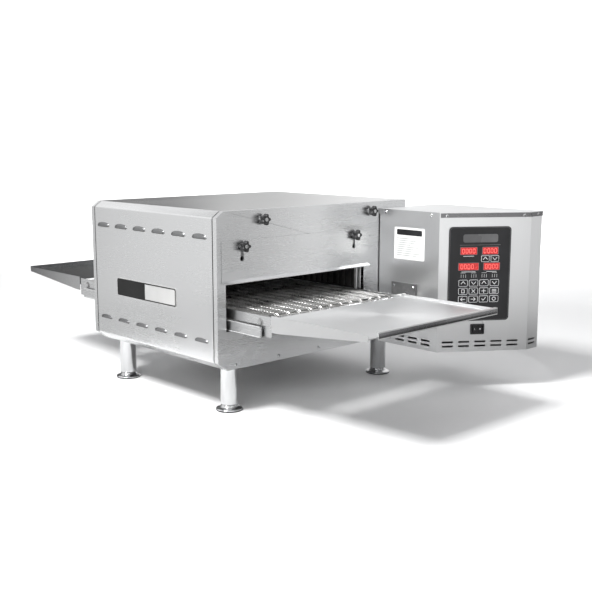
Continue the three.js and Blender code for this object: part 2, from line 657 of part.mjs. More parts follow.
const rotorSolid = () => {
  const hub = bar('y', 0, 0, 0, fan.hub, 16, 20);
  const root = fan.hub - 4;
  const blades = range(fan.blades).map((index) => {
    const geometry = new THREE.BoxGeometry(2, 14, fan.radius - root);
    geometry.rotateZ(0.6);
    geometry.translate(0, 8, (fan.radius + root) / 2);
    geometry.rotateY((index / fan.blades) * Math.PI * 2);
    return solid(geometry);
  });
  return cut(join([hub, ...blades]), [bar('y', 0, -5, 0, fan.pin + 0.3, 40, 12)]);
};
place('cooling_fan_rotor', rotorSolid(), blackPlastic, oven, [fan.x, farWall - 27, fan.z]);

place('cord_gland', cut(join([
  bar('x', head.x0 - 16, gland.y, gland.z, 8, 30, 20),
  bar('x', head.x0 - 9, gland.y, gland.z, 12, 9.6, 6),
]), [bar('x', head.x0 - 20, gland.y, gland.z, 4.5, 40, 16)]), blackPlastic);

export default oven;
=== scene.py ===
# Countertop conveyor oven: the finish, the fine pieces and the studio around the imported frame
import bpy
import bmesh
import math
import random
from mathutils import Matrix, Vector


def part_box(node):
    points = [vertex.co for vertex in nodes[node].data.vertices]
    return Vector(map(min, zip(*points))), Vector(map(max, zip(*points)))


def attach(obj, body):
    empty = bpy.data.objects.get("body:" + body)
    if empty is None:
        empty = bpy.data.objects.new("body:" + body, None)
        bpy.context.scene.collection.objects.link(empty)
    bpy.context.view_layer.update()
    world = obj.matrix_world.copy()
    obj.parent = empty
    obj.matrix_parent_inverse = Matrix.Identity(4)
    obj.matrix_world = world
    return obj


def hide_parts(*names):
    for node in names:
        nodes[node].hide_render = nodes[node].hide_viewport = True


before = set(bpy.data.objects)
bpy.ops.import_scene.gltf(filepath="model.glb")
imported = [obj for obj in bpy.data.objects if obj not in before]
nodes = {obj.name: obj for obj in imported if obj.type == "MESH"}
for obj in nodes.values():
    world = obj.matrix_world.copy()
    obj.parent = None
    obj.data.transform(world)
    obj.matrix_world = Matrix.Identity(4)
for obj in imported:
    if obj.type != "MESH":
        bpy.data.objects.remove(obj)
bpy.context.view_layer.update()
random.seed(11)


# small mesh helpers

def finishMesh(name, bm, body, materials, smooth=35, at=None):
    # turns a bmesh into a piece that rides on a body
    bmesh.ops.recalc_face_normals(bm, faces=bm.faces)
    mesh = bpy.data.meshes.new(name)
    bm.to_mesh(mesh)
    bm.free()
    for material in materials:
        mesh.materials.append(material)
    for polygon in mesh.polygons:
        polygon.use_smooth = True
    mesh.set_sharp_from_angle(angle=math.radians(smooth))
    piece = bpy.data.objects.new(name, mesh)
    bpy.context.scene.collection.objects.link(piece)
    if at is not None:
        piece.matrix_world = at
    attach(piece, body)
    return piece


axes = {"x": (1, 0, 0), "y": (0, 1, 0), "z": (0, 0, 1), "-x": (-1, 0, 0), "-y": (0, -1, 0)}


def facePlane(origin, along, up, out):
    # frame for flat work on a face: u along it, v up it, w out of it
    columns = [axes[name] for name in (along, up, out)]
    turn = Matrix([[column[row] for column in columns] for row in range(3)]).to_4x4()
    return Matrix.Translation(origin) @ turn


def addBox(bm, low, high, index=0, matrix=None):
    corners = [Vector((x, y, z)) for x in (low[0], high[0])
               for y in (low[1], high[1]) for z in (low[2], high[2])]
    if matrix:
        corners = [matrix @ corner for corner in corners]
    verts = [bm.verts.new(corner) for corner in corners]
    for ring in ((0, 1, 3, 2), (4, 6, 7, 5), (0, 4, 5, 1), (2, 3, 7, 6), (0, 2, 6, 4), (1, 5, 7, 3)):
        face = bm.faces.new([verts[i] for i in ring])
        face.material_index = index


def addPrism(bm, outline, near, far, matrix, index=0):
    # outline in (u, v), swept along w from near to far, then placed by the matrix
    front = [bm.verts.new(matrix @ Vector((u, v, near))) for u, v in outline]
    back = [bm.verts.new(matrix @ Vector((u, v, far))) for u, v in outline]
    count = len(outline)
    faces = [bm.faces.new(front), bm.faces.new(list(reversed(back)))]
    for i in range(count):
        j = (i + 1) % count
        faces.append(bm.faces.new([front[j], front[i], back[i], back[j]]))
    for face in faces:
        face.material_index = index


def addRing(bm, outer, inner, near, far, matrix, index=0):
    # flat frame between two outlines of equal length
    count = len(outer)
    loops = []
    for outline, depth in ((outer, near), (inner, near), (inner, far), (outer, far)):
        loops.append([bm.verts.new(matrix @ Vector((u, v, depth))) for u, v in outline])
    for a in range(4):
        b = (a + 1) % 4
        for i in range(count):
            j = (i + 1) % count
            face = bm.faces.new([loops[a][i], loops[a][j], loops[b][j], loops[b][i]])
            face.material_index = index


def addLathe(bm, profile, sides, matrix, index=0):
    # profile of (radius, height); a radius of 0 closes to a point on the axis
    rings = []
    for radius, height in profile:
        if radius == 0:
            rings.append([bm.verts.new(matrix @ Vector((0, 0, height)))])
            continue
        rings.append([bm.verts.new(matrix @ Vector((
            radius * math.cos(2 * math.pi * k / sides),
            radius * math.sin(2 * math.pi * k / sides), height))) for k in range(sides)])
    for low, high in zip(rings, rings[1:]):
        for k in range(sides):
            n = (k + 1) % sides
            if len(low) == 1 and len(high) == 1:
                continue
            if len(low) == 1:
                face = bm.faces.new([low[0], high[n], high[k]])
            elif len(high) == 1:
                face = bm.faces.new([low[k], low[n], high[0]])
            else:
                face = bm.faces.new([low[k], low[n], high[n], high[k]])
            face.material_index = index


def addTube(bm, points, radius, sides, index=0):
    # round wire along points, ends capped
    rings = []
    normal = None
    for i, point in enumerate(points):
        before = points[max(i - 1, 0)]
        after = points[min(i + 1, len(points) - 1)]
        along = (after - before).normalized()
        if normal is None:
            normal = along.orthogonal().normalized()
        normal = (normal - along * normal.dot(along)).normalized()
        side = along.cross(normal)
        rings.append([bm.verts.new(point + radius * (
            normal * math.cos(2 * math.pi * k / sides) + side * math.sin(2 * math.pi * k / sides)))
            for k in range(sides)])
    for low, high in zip(rings, rings[1:]):
        for k in range(sides):
            n = (k + 1) % sides
            face = bm.faces.new([low[k], low[n], high[n], high[k]])
            face.material_index = index
    for ring in (list(reversed(rings[0])), rings[-1]):
        bm.faces.new(ring).material_index = index


def roundedOutline(u0, u1, v0, v1, radius, steps=6):
    points = []
    corners = ((u1 - radius, v0 + radius, -90), (u1 - radius, v1 - radius, 0),
               (u0 + radius, v1 - radius, 90), (u0 + radius, v0 + radius, 180))
    for u, v, start in corners:
        for step in range(steps + 1):
            angle = math.radians(start + 90 * step / steps)
            points.append((u + radius * math.cos(angle), v + radius * math.sin(angle)))
    return points


def insetOutline(window, inset, radius, steps=6):
    u0, u1, v0, v1 = window
    return roundedOutline(u0 + inset, u1 - inset, v0 + inset, v1 - inset, radius, steps)


def roundEdges(piece, width, segments=3, angle=28):
    # folded-sheet edges: merge the flat triangles, then round the corners
    flat = piece.modifiers.new("flat", "DECIMATE")
    flat.decimate_type = "DISSOLVE"
    flat.angle_limit = math.radians(2)
    bevel = piece.modifiers.new("edge", "BEVEL")
    bevel.width = width
    bevel.segments = segments
    bevel.limit_method = "ANGLE"
    bevel.angle_limit = math.radians(angle)
    bevel.miter_outer = "MITER_ARC"
    bevel.use_clamp_overlap = True
    shade = piece.modifiers.new("shade", "NODES")
    shade.node_group = smoothGroup


def makeSmoothGroup(limit=32):
    group = bpy.data.node_groups.new("softShading", "GeometryNodeTree")
    group.interface.new_socket("Geometry", in_out="INPUT", socket_type="NodeSocketGeometry")
    group.interface.new_socket("Geometry", in_out="OUTPUT", socket_type="NodeSocketGeometry")
    start = group.nodes.new("NodeGroupInput")
    end = group.nodes.new("NodeGroupOutput")
    faces = group.nodes.new("GeometryNodeSetShadeSmooth")
    edges = group.nodes.new("GeometryNodeSetShadeSmooth")
    edges.domain = "EDGE"
    angle = group.nodes.new("GeometryNodeInputMeshEdgeAngle")
    below = group.nodes.new("FunctionNodeCompare")
    below.operation = "LESS_THAN"
    below.inputs[1].default_value = math.radians(limit)
    group.links.new(start.outputs[0], faces.inputs["Geometry"])
    group.links.new(faces.outputs["Geometry"], edges.inputs["Geometry"])
    group.links.new(angle.outputs["Unsigned Angle"], below.inputs[0])
    group.links.new(below.outputs["Result"], edges.inputs["Shade Smooth"])
    group.links.new(edges.outputs["Geometry"], end.inputs[0])
    return group


smoothGroup = makeSmoothGroup()


# finishes

class Finish:
    # one node material, with short ways to add what they all share
    def __init__(self, name, color, metallic, roughness):
        self.material = bpy.data.materials.new(name)
        self.material.use_nodes = True
        self.tree = self.material.node_tree
        self.shader = self.tree.nodes["Principled BSDF"]
        self.shader.inputs["Metallic"].default_value = metallic
        self.shader.inputs["Roughness"].default_value = roughness
        self.shader.inputs["Base Color"].default_value = (*color, 1)
        self.place = self.tree.nodes.new("ShaderNodeTexCoord").outputs["Object"]
        self.bumps = None

    def node(self, kind, **values):
        made = self.tree.nodes.new(kind)
        for key, value in values.items():
            setattr(made, key, value)
        return made

    def link(self, a, b):
        self.tree.links.new(a, b)

    def noise(self, scale, stretch=(1, 1, 1), detail=3, rough=0.55, shift=(0, 0, 0)):
        spread = self.node("ShaderNodeMapping")
        spread.inputs["Scale"].default_value = stretch
        spread.inputs["Location"].default_value = shift
        self.link(self.place, spread.inputs["Vector"])
        noise = self.node("ShaderNodeTexNoise")
        noise.inputs["Scale"].default_value = scale
        noise.inputs["Detail"].default_value = detail
        noise.inputs["Roughness"].default_value = rough
        self.link(spread.outputs[0], noise.inputs["Vector"])
        return noise.outputs["Fac"]

    def remap(self, value, low, high, toLow, toHigh):
        node = self.node("ShaderNodeMapRange")
        for key, number in zip(("From Min", "From Max", "To Min", "To Max"),
                               (low, high, toLow, toHigh)):
            node.inputs[key].default_value = number
        self.link(value, node.inputs["Value"])
        return node.outputs["Result"]

    def math(self, operation, a, b):
        node = self.node("ShaderNodeMath", operation=operation)
        for socket, value in zip(node.inputs, (a, b)):
            if isinstance(value, (int, float)):
                socket.default_value = value
            else:
                self.link(value, socket)
        return node.outputs[0]

    def tint(self, factor, dark, light):
        ramp = self.node("ShaderNodeMix", data_type="RGBA")
        ramp.inputs["A"].default_value = (*dark, 1)
        ramp.inputs["B"].default_value = (*light, 1)
        self.link(factor, ramp.inputs["Factor"])
        return ramp.outputs["Result"]

    def color(self, socket):
        self.link(socket, self.shader.inputs["Base Color"])

    def roughness(self, socket):
        self.link(socket, self.shader.inputs["Roughness"])

    def bump(self, height, strength, distance):
        node = self.node("ShaderNodeBump")
        node.inputs["Strength"].default_value = strength
        node.inputs["Distance"].default_value = distance
        self.link(height, node.inputs["Height"])
        if self.bumps:
            self.link(self.bumps, node.inputs["Normal"])
        self.bumps = node.outputs["Normal"]
        self.link(self.bumps, self.shader.inputs["Normal"])


def brushedSteel(name, along, light=(0.71, 0.715, 0.72), dark=(0.64, 0.645, 0.652),
                 rough=(0.23, 0.31), grain=1.0):
    # fine grain along one axis, broad soft bands, faint smears
    finish = Finish(name, light, 1, rough[0])
    fine = [980, 980, 980]
    broad = [26, 26, 26]
    for axis in along:
        fine["xyz".index(axis)] = 14
        broad["xyz".index(axis)] = 1.6
    hair = finish.noise(1, fine, detail=3, rough=0.6)
    band = finish.noise(1, broad, detail=1)
    smear = finish.noise(4, (1, 1, 1), detail=4, rough=0.6, shift=(3, 1, 7))
    mixed = finish.math("ADD", finish.math("MULTIPLY", hair, 0.6 * grain),
                        finish.math("MULTIPLY", band, 0.4))
    finish.color(finish.tint(finish.remap(mixed, 0.0, 0.9, 0, 1), dark, light))
    worn = finish.math("ADD", finish.math("MULTIPLY", mixed, 0.5), finish.math("MULTIPLY", smear, 0.5))
    finish.roughness(finish.remap(worn, 0.3, 0.7, rough[0], rough[1]))
    finish.bump(hair, 0.012 * grain, 0.0003)
    finish.shader.inputs["Anisotropic"].default_value = 0.4
    return finish.material


def polishedSteel(name):
    finish = Finish(name, (0.72, 0.725, 0.73), 1, 0.12)
    haze = finish.noise(26, (1, 1, 0.2), detail=5, rough=0.6)
    scuff = finish.noise(1, (60, 60, 900), detail=3, rough=0.7)
    finish.color(finish.tint(finish.remap(haze, 0.35, 0.65, 0, 1), (0.5, 0.505, 0.51), (0.66, 0.665, 0.67)))
    mixed = finish.math("ADD", finish.math("MULTIPLY", haze, 0.5), finish.math("MULTIPLY", scuff, 0.5))
    finish.roughness(finish.remap(mixed, 0.35, 0.65, 0.09, 0.2))
    finish.bump(scuff, 0.04, 0.0003)
    return finish.material


def cloudedDarkSteel(name, dark=(0.055, 0.054, 0.052), light=(0.15, 0.147, 0.142)):
    # chamber sheet: near-black grey clouds with fine spots
    finish = Finish(name, dark, 0.9, 0.5)
    cloud = finish.noise(9, (1, 1, 1), detail=6, rough=0.65)
    spot = finish.noise(120, (1, 1, 1), detail=3, rough=0.6, shift=(2, 5, 1))
    mixed = finish.math("ADD", finish.math("MULTIPLY", cloud, 0.75), finish.math("MULTIPLY", spot, 0.25))
    finish.color(finish.tint(finish.remap(mixed, 0.35, 0.68, 0, 1), dark, light))
    finish.roughness(finish.remap(mixed, 0.3, 0.7, 0.38, 0.62))
    finish.bump(spot, 0.12, 0.0006)
    return finish.material


def wireSteel(name):
    finish = Finish(name, (0.4, 0.395, 0.385), 1, 0.3)
    stain = finish.noise(24, (1, 1, 1), detail=4, rough=0.6)
    draw = finish.noise(1, (900, 200, 900), detail=2)
    finish.color(finish.tint(finish.remap(stain, 0.36, 0.66, 0, 1), (0.52, 0.51, 0.495), (0.8, 0.795, 0.785)))
    finish.roughness(finish.remap(stain, 0.3, 0.7, 0.24, 0.42))
    finish.bump(draw, 0.08, 0.0003)
    return finish.material


def mouldedPlastic(name, color, light, rough=(0.32, 0.5), grain=900, depth=0.1):
    finish = Finish(name, color, 0, rough[0])
    speck = finish.noise(grain, detail=2, rough=0.6)
    patch = finish.noise(35, detail=4, rough=0.6)
    finish.color(finish.tint(finish.remap(patch, 0.35, 0.7, 0, 1), color, light))
    finish.roughness(finish.remap(patch, 0.3, 0.7, rough[0], rough[1]))
    finish.bump(speck, depth, 0.0003)
    return finish.material


def printedFilm(name, color, light, rough=(0.24, 0.36)):
    # smooth film with the faintest orange peel
    finish = Finish(name, color, 0, rough[0])
    peel = finish.noise(240, detail=2)
    patch = finish.noise(14, (1, 1, 0.5), detail=3)
    finish.color(finish.tint(finish.remap(patch, 0.3, 0.7, 0, 1), color, light))
    finish.roughness(finish.remap(patch, 0.3, 0.7, rough[0], rough[1]))
    finish.bump(peel, 0.05, 0.0002)
    finish.shader.inputs["Specular IOR Level"].default_value = 0.28
    return finish.material


def litWindow(name, color, light, glow):
    # tinted window with a soft lamp behind it
    finish = Finish(name, color, 0, 0.22)
    patch = finish.noise(160, detail=2)
    shade = finish.tint(finish.remap(patch, 0.3, 0.7, 0, 1), color, light)
    finish.color(shade)
    finish.link(shade, finish.shader.inputs["Emission Color"])
    finish.shader.inputs["Emission Strength"].default_value = glow
    finish.roughness(finish.remap(patch, 0.3, 0.7, 0.16, 0.3))
    return finish.material


def mineralWool(name):
    finish = Finish(name, (0.62, 0.55, 0.36), 0, 0.95)
    fibre = finish.noise(1, (300, 900, 300), detail=5, rough=0.75)
    finish.color(finish.tint(fibre, (0.5, 0.42, 0.24), (0.78, 0.72, 0.54)))
    finish.bump(fibre, 0.6, 0.003)
    return finish.material


steelX = brushedSteel("steelAcross", "x")
steelY = brushedSteel("steelEndPanel", "y")
steelZ = brushedSteel("steelUpright", "z", rough=(0.33, 0.41))
topSteel = brushedSteel("steelTop", "y", light=(0.56, 0.565, 0.57), dark=(0.5, 0.505, 0.51),
                        rough=(0.15, 0.21), grain=0.6)
trayBright = brushedSteel("trayBright", "y", light=(0.67, 0.673, 0.676), dark=(0.63, 0.633, 0.637),
                          rough=(0.46, 0.54), grain=0.5)
# painted shade: a darker copy of the brushed steel, for the louver scoops and the keyhole slot shade
paintedShadeSteel = brushedSteel("paintedShadeSteel", "x", light=(0.25, 0.252, 0.256), dark=(0.19, 0.192, 0.196))
# painted shade: a darker copy again, for the dark strips on the lid fold and the tray lips
shadeStripSteel = brushedSteel("shadeStripSteel", "x", light=(0.2, 0.2, 0.205), dark=(0.13, 0.13, 0.135))
legSteel = polishedSteel("legPolish")
chamberSteel = cloudedDarkSteel("chamberSheet")
darkSheet = cloudedDarkSteel("darkSheet", (0.16, 0.16, 0.165), (0.3, 0.3, 0.3))
beltWire = wireSteel("beltWire")
knobBlack = mouldedPlastic("knobBlack", (0.012, 0.012, 0.013), (0.03, 0.03, 0.032))
switchBlack = mouldedPlastic("switchBlack", (0.01, 0.01, 0.011), (0.02, 0.02, 0.022), (0.25, 0.4), 700, 0.05)
bushGrey = mouldedPlastic("bushGrey", (0.16, 0.16, 0.16), (0.22, 0.22, 0.22), (0.35, 0.45), 600, 0.05)
acetal = mouldedPlastic("acetalWhite", (0.74, 0.74, 0.72), (0.82, 0.82, 0.8), (0.3, 0.42), 600, 0.05)
filmBlack = printedFilm("filmBlack", (0.011, 0.011, 0.012), (0.022, 0.022, 0.024), (0.34, 0.46))
filmWhite = printedFilm("filmWhite", (0.74, 0.74, 0.75), (0.84, 0.84, 0.85), (0.3, 0.42))
filmGrey = printedFilm("filmGrey", (0.09, 0.09, 0.092), (0.14, 0.14, 0.143))
labelWhite = printedFilm("labelWhite", (0.78, 0.78, 0.77), (0.86, 0.86, 0.85), (0.42, 0.52))
plateSilver = printedFilm("plateSilver", (0.38, 0.38, 0.376), (0.45, 0.45, 0.444), (0.42, 0.52))
# near-black: painted shade in the side cover's seams, and the dark print on the nameplate
seamShadeAndPlateBlack = printedFilm("seamShadeAndPlateBlack", (0.006, 0.006, 0.006), (0.012, 0.012, 0.012), (0.7, 0.8))
displayRed = litWindow("displayRed", (0.36, 0.012, 0.012), (0.5, 0.024, 0.022), 0.4)
digitGlow = litWindow("digitGlow", (0.8, 0.10, 0.09), (0.9, 0.16, 0.14), 0.75)
lampPale = printedFilm("lampPale", (0.34, 0.34, 0.34), (0.5, 0.5, 0.5))
woolYellow = mineralWool("mineralWool")
boardGreen = mouldedPlastic("boardGreen", (0.01, 0.07, 0.03), (0.02, 0.12, 0.05), (0.3, 0.45))
print("finishes made")


# carried-over pieces: finish and rounded edges

carried = {
    "steelX": (steelX, 0.0006, ["side_cover_far", "conveyor_frame", "entry_crumb_tray",
                                "exit_crumb_tray"]),
    "steelY": (steelY, 0.0008, ["exit_end_panel", "entry_end_panel", "exit_shutter",
                                "entry_shutter"]),
    "steelZ": (steelZ, 0.0009, ["control_case", "control_lid"]),
    "top": (topSteel, 0.0006, ["top_cover", "entry_tray"]),
    "bright": (trayBright, 0.0004, ["exit_tray"]),
    "shafts": (legSteel, 0.0004, ["drive_shaft", "idler_shaft"]),
    "chamber": (chamberSteel, 0.0004, ["chamber_floor", "chamber_roof", "chamber_wall_near",
                                       "chamber_wall_far", "upper_air_duct", "lower_air_duct",
                                       "upper_heater", "lower_heater", "blower_wheel"]),
    "dark": (darkSheet, 0.0006, ["base_pan", "blower_motor", "gear_motor", "shaft_bracket"]),
    "black": (switchBlack, 0.0006, ["switch_bezel", "cooling_fan_frame", "cooling_fan_rotor",
                                    "cord_gland"]),
    "film": (filmBlack, 0.0003, ["membrane_panel"]),
    "wool": (woolYellow, 0.004, ["insulation_top", "insulation_bottom"]),
    "acetal": (acetal, 0.0006, ["shaft_coupling"]),
    "bushes": (bushGrey, 0.0004, ["drive_bush_near", "drive_bush_far", "idler_bush_near", "idler_bush_far"]),
    "board": (boardGreen, 0.0003, ["control_board"]),
}
for material, width, names in carried.values():
    for name in names:
        nodes[name].data.materials.clear()
        nodes[name].data.materials.append(material)
        roundEdges(nodes[name], width)
print("carried pieces finished")


# near side cover with pressed louvers

panelLow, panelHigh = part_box("exit_end_panel")
nearY = panelLow.y
cover = {
    "thick": 0.002, "bend": 0.0035, "topAcross": 0.020, "topDown": 0.014,
    "lowAcross": 0.026, "lowUp": 0.0195, "lip": 0.0036,
    "seam": 0.002, "seamShadeOut": 0.0011, "seamShadeIn": (0.0012, -0.0006),
    "count": 6, "pitch": 0.0786, "first": 0.034, "proud": 0.0048, "pressed": 0.0011,
    "rows": ((0.054, 0.011, 0.396), (0.050, 0.009, 0.163)),  # width, height and lower edge of each louver
    "slotEnds": 0.003, "slotDrop": 0.0016, "slotCorner": 0.24,
}


def coverPath():
    zTop, zLow = panelHigh.z, panelLow.z
    raw = [(nearY + cover["topAcross"] + cover["lip"], zTop), (nearY + cover["topAcross"], zTop),
           (nearY, zTop - cover["topDown"]), (nearY, zLow + cover["lowUp"]),
           (nearY + cover["lowAcross"], zLow), (nearY + cover["lowAcross"] + cover["lip"], zLow)]
    points = [Vector(raw[0])]
    for before, corner, after in zip(raw, raw[1:], raw[2:]):
        before, corner, after = Vector(before), Vector(corner), Vector(after)
        reach = min(cover["bend"], (corner - before).length * 0.45, (after - corner).length * 0.45)
        start = corner + (before - corner).normalized() * reach
        stop = corner + (after - corner).normalized() * reach
        for step in range(7):
            t = step / 6
            points.append(start * (1 - t) ** 2 + corner * 2 * t * (1 - t) + stop * t ** 2)
    points.append(Vector(raw[-1]))
    return points


def coverSheet():
    low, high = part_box("side_cover_near")
    outer = coverPath()
    inner = []
    for i, point in enumerate(outer):
        along = (outer[min(i + 1, len(outer) - 1)] - outer[max(i - 1, 0)]).normalized()
        inner.append(point + Vector((-along.y, along.x)) * cover["thick"])
    loop = outer + list(reversed(inner))
    bm = bmesh.new()
    turn = facePlane((0, 0, 0), "y", "z", "x")
    addPrism(bm, [(p.x, p.y) for p in loop], low.x + cover["seam"], high.x - cover["seam"], turn)
    # painted shade: a near-black strip sunk in the joint at each end stands in for the shadow in the seam
    sunk = [p + Vector(cover["seamShadeIn"]) for p in loop]
    seam, proud = cover["seam"], cover["seamShadeOut"]
    for start, stop in ((low.x - proud, low.x + seam), (high.x - seam, high.x + proud)):
        addPrism(bm, [(p.x, p.y) for p in sunk], start, stop, turn, 2)
    return bm


def louverSpots():
    for width, height, low in cover["rows"]:
        for k in range(cover["count"]):
            x = panelHigh.x - cover["first"] - width / 2 - k * cover["pitch"]
            yield x, width, height, low


def addScoop(bm, x, width, height, low):
    # half dish with a flat middle, open along its lower edge
    across, up = 28, 8
    for shift in (0.0, cover["pressed"]):
        grid = []
        for j in range(up + 1):
            v = j / up
            row = []
            for i in range(across + 1):
                u = -1 + 2 * i / across
                spread = math.sqrt(max(1 - v ** 2.6, 0))
                half = (width / 2 - shift * 0.8) * max(spread, 0.02)
                swell = (1 - abs(u) ** 5) * math.cos(v * math.pi / 2) ** 0.75
                proud = (cover["proud"] - shift) * max(swell, 0)
                row.append(bm.verts.new((x + u * half, nearY - proud + 0.0002,
                                         low + v * (height - shift))))
            grid.append(row)
        for a, b in zip(grid, grid[1:]):
            for i in range(across):
                bm.faces.new([a[i + 1], a[i], b[i], b[i + 1]])
        if shift == 0:
            outerRim = grid[0]
        else:
            for i in range(across):
                bm.faces.new([outerRim[i], outerRim[i + 1], grid[0][i + 1], grid[0][i]])


def makeCover():
    bm = coverSheet()
    cutter = bmesh.new()
    turn = facePlane((0, 0, 0), "x", "z", "y")
    for x, width, height, low in louverSpots():
        half = width / 2 - cover["slotEnds"]
        outline = roundedOutline(x - half, x + half, low - cover["slotDrop"], low + height / 2,
                                 height * cover["slotCorner"])
        addPrism(cutter, outline, nearY - 0.01, nearY + 0.01, turn)
    bmesh.ops.recalc_face_normals(cutter, faces=cutter.faces)
    mesh = bpy.data.meshes.new("louverCutter")
    cutter.to_mesh(mesh)
    cutter.free()
    knife = bpy.data.objects.new("louverCutter", mesh)
    bpy.context.scene.collection.objects.link(knife)
    sheet = finishMesh("side_cover_sheet", bm, "root", [steelX, chamberSteel, seamShadeAndPlateBlack], 40)
    slots = sheet.modifiers.new("slots", "BOOLEAN")
    slots.object = knife
    slots.operation = "DIFFERENCE"
    slots.solver = "EXACT"
    bpy.context.view_layer.update()
    shaped = bpy.data.meshes.new_from_object(
        sheet.evaluated_get(bpy.context.evaluated_depsgraph_get()))
    sheet.modifiers.clear()
    sheet.data = shaped
    bpy.data.objects.remove(knife)
    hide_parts("side_cover_near")
    scoops = bmesh.new()
    for x, width, height, low in louverSpots():
        addScoop(scoops, x, width, height, low)
    # painted shade: the scoops take a dark copy of the cover's steel
    finishMesh("side_louvers", scoops, "root", [paintedShadeSteel], 50)


makeCover()
print("side cover made")


# star knobs

knobShape = {
    "radius": 0.0135, "lobes": 5, "lobe": 0.17, "depth": 0.012, "sides": 80, "tall": 0.016,
    "collar": 0.003, "collarRadius": 0.0065, "stud": 0.003, "shank": 0.014, "insert": 0.0045,
    "washer": 0.0078, "soft": 0.0004,
    "standOff": {"panel": 0.0022, "shutter": 0.0003},  # from the collar to the sheet behind it
}


def makeKnob(end, use, number, side):
    node = f"{end}_{use}_knob_{number}"
    low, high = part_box(node)
    middle = (low + high) / 2
    outX = high.x if side > 0 else low.x
    out = "x" if side > 0 else "-x"
    spot = facePlane((outX - side * knobShape["tall"], middle.y, middle.z), "y", "z", out)
    base, soft = knobShape["collar"], knobShape["soft"]
    tip = base + knobShape["depth"]
    # scale of the star outline and its height, from the back face round to the hollow in front
    rings = ((0.40, base + 0.0001), (0.90, base + 0.0003), (0.98, base + 0.0012), (1.0, base + 0.003),
             (1.0, tip - 0.0026), (0.965, tip - 0.001), (0.88, tip - 0.0003), (0.5, tip - 0.0005),
             (0.42, tip - 0.0012), (0.38, tip - 0.0012))
    bm = bmesh.new()
    loops = []
    for scale, height in rings:
        loop = []
        wave = knobShape["lobe"] * max(0, min(1, (scale - 0.4) / 0.5))
        for k in range(knobShape["sides"]):
            angle = 2 * math.pi * k / knobShape["sides"]
            radius = knobShape["radius"] * scale * (1 - wave + wave * math.cos(knobShape["lobes"] * angle))
            rim = Vector((radius * math.cos(angle), radius * math.sin(angle), height))
            loop.append(bm.verts.new(spot @ rim))
        loops.append(loop)
    for a, b in zip(loops, loops[1:]):
        for k in range(len(a)):
            n = (k + 1) % len(a)
            bm.faces.new([a[k], a[n], b[n], b[k]])
    bm.faces.new(list(reversed(loops[0])))
    bm.faces.new(loops[-1])
    collar, stud, washer = (knobShape[key] for key in ("collarRadius", "stud", "washer"))
    shank, insert = knobShape["shank"], knobShape["insert"]
    addLathe(bm, [(0, 0.0), (collar - 0.0003, 0.0), (collar, soft), (collar, base + 0.0005),
                  (0, base + 0.0005)], 40, spot, 1)
    addLathe(bm, [(0, -shank), (stud - soft, -shank), (stud, soft - shank), (stud, 0.001), (0, 0.001)],
             24, spot, 1)
    # washer against the sheet behind the knob
    back = -knobShape["standOff"][use]
    addLathe(bm, [(0, back), (washer - 0.0002, back), (washer, back + 0.0002), (washer, 0.0),
                  (washer - 0.0002, 0.0002), (0, 0.0002)], 40, spot, 1)
    addLathe(bm, [(0, tip + 0.0006), (insert - 0.0007, tip + 0.0006), (insert - 0.0001, tip),
                  (insert, tip - 0.003), (0, tip - 0.003)], 32, spot, 1)
    knob = finishMesh(node + "_moulding", bm, node, [knobBlack, legSteel], 32)
    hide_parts(node)


for end, side in (("exit", 1), ("entry", -1)):
    for use in ("shutter", "panel"):
        for number in (1, 2):
            makeKnob(end, use, number, side)
print("knobs made")


# legs and feet

legShape = {"tube": 0.0203, "collar": 0.0233, "thick": 0.003, "bore": 0.008, "boreDepth": 0.052}
footShape = {
    "radius": 0.031, "pad": 0.0026, "rim": 0.0065, "neck": 0.0195, "top": 0.0146,
    "stem": 0.0075, "turns": 14, "pitch": 0.003, "thread": 0.0007,
}


def makeLeg(corner):
    low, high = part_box("leg_" + corner)
    middle = (low + high) / 2
    at = Matrix.Translation((middle.x, middle.y, 0))
    z0, z1 = low.z, high.z
    tube, collar, bore = (legShape[key] for key in ("tube", "collar", "bore"))
    inside, under = z0 + legShape["boreDepth"], z1 - legShape["thick"]
    profile = [(0, inside), (bore, inside), (bore, z0 + 0.001),
               (bore + 0.001, z0), (tube - 0.001, z0), (tube - 0.0003, z0 + 0.0003),
               (tube, z0 + 0.001), (tube, under - 0.0016), (tube + 0.0004, under - 0.0006),
               (tube + 0.001, under), (collar - 0.0006, under), (collar, under + 0.0006),
               (collar, z1 - 0.0006), (collar - 0.0006, z1), (0, z1)]
    bm = bmesh.new()
    addLathe(bm, profile, 72, at)
    leg = finishMesh("leg_tube_" + corner, bm, "root", [legSteel], 40)
    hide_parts("leg_" + corner)


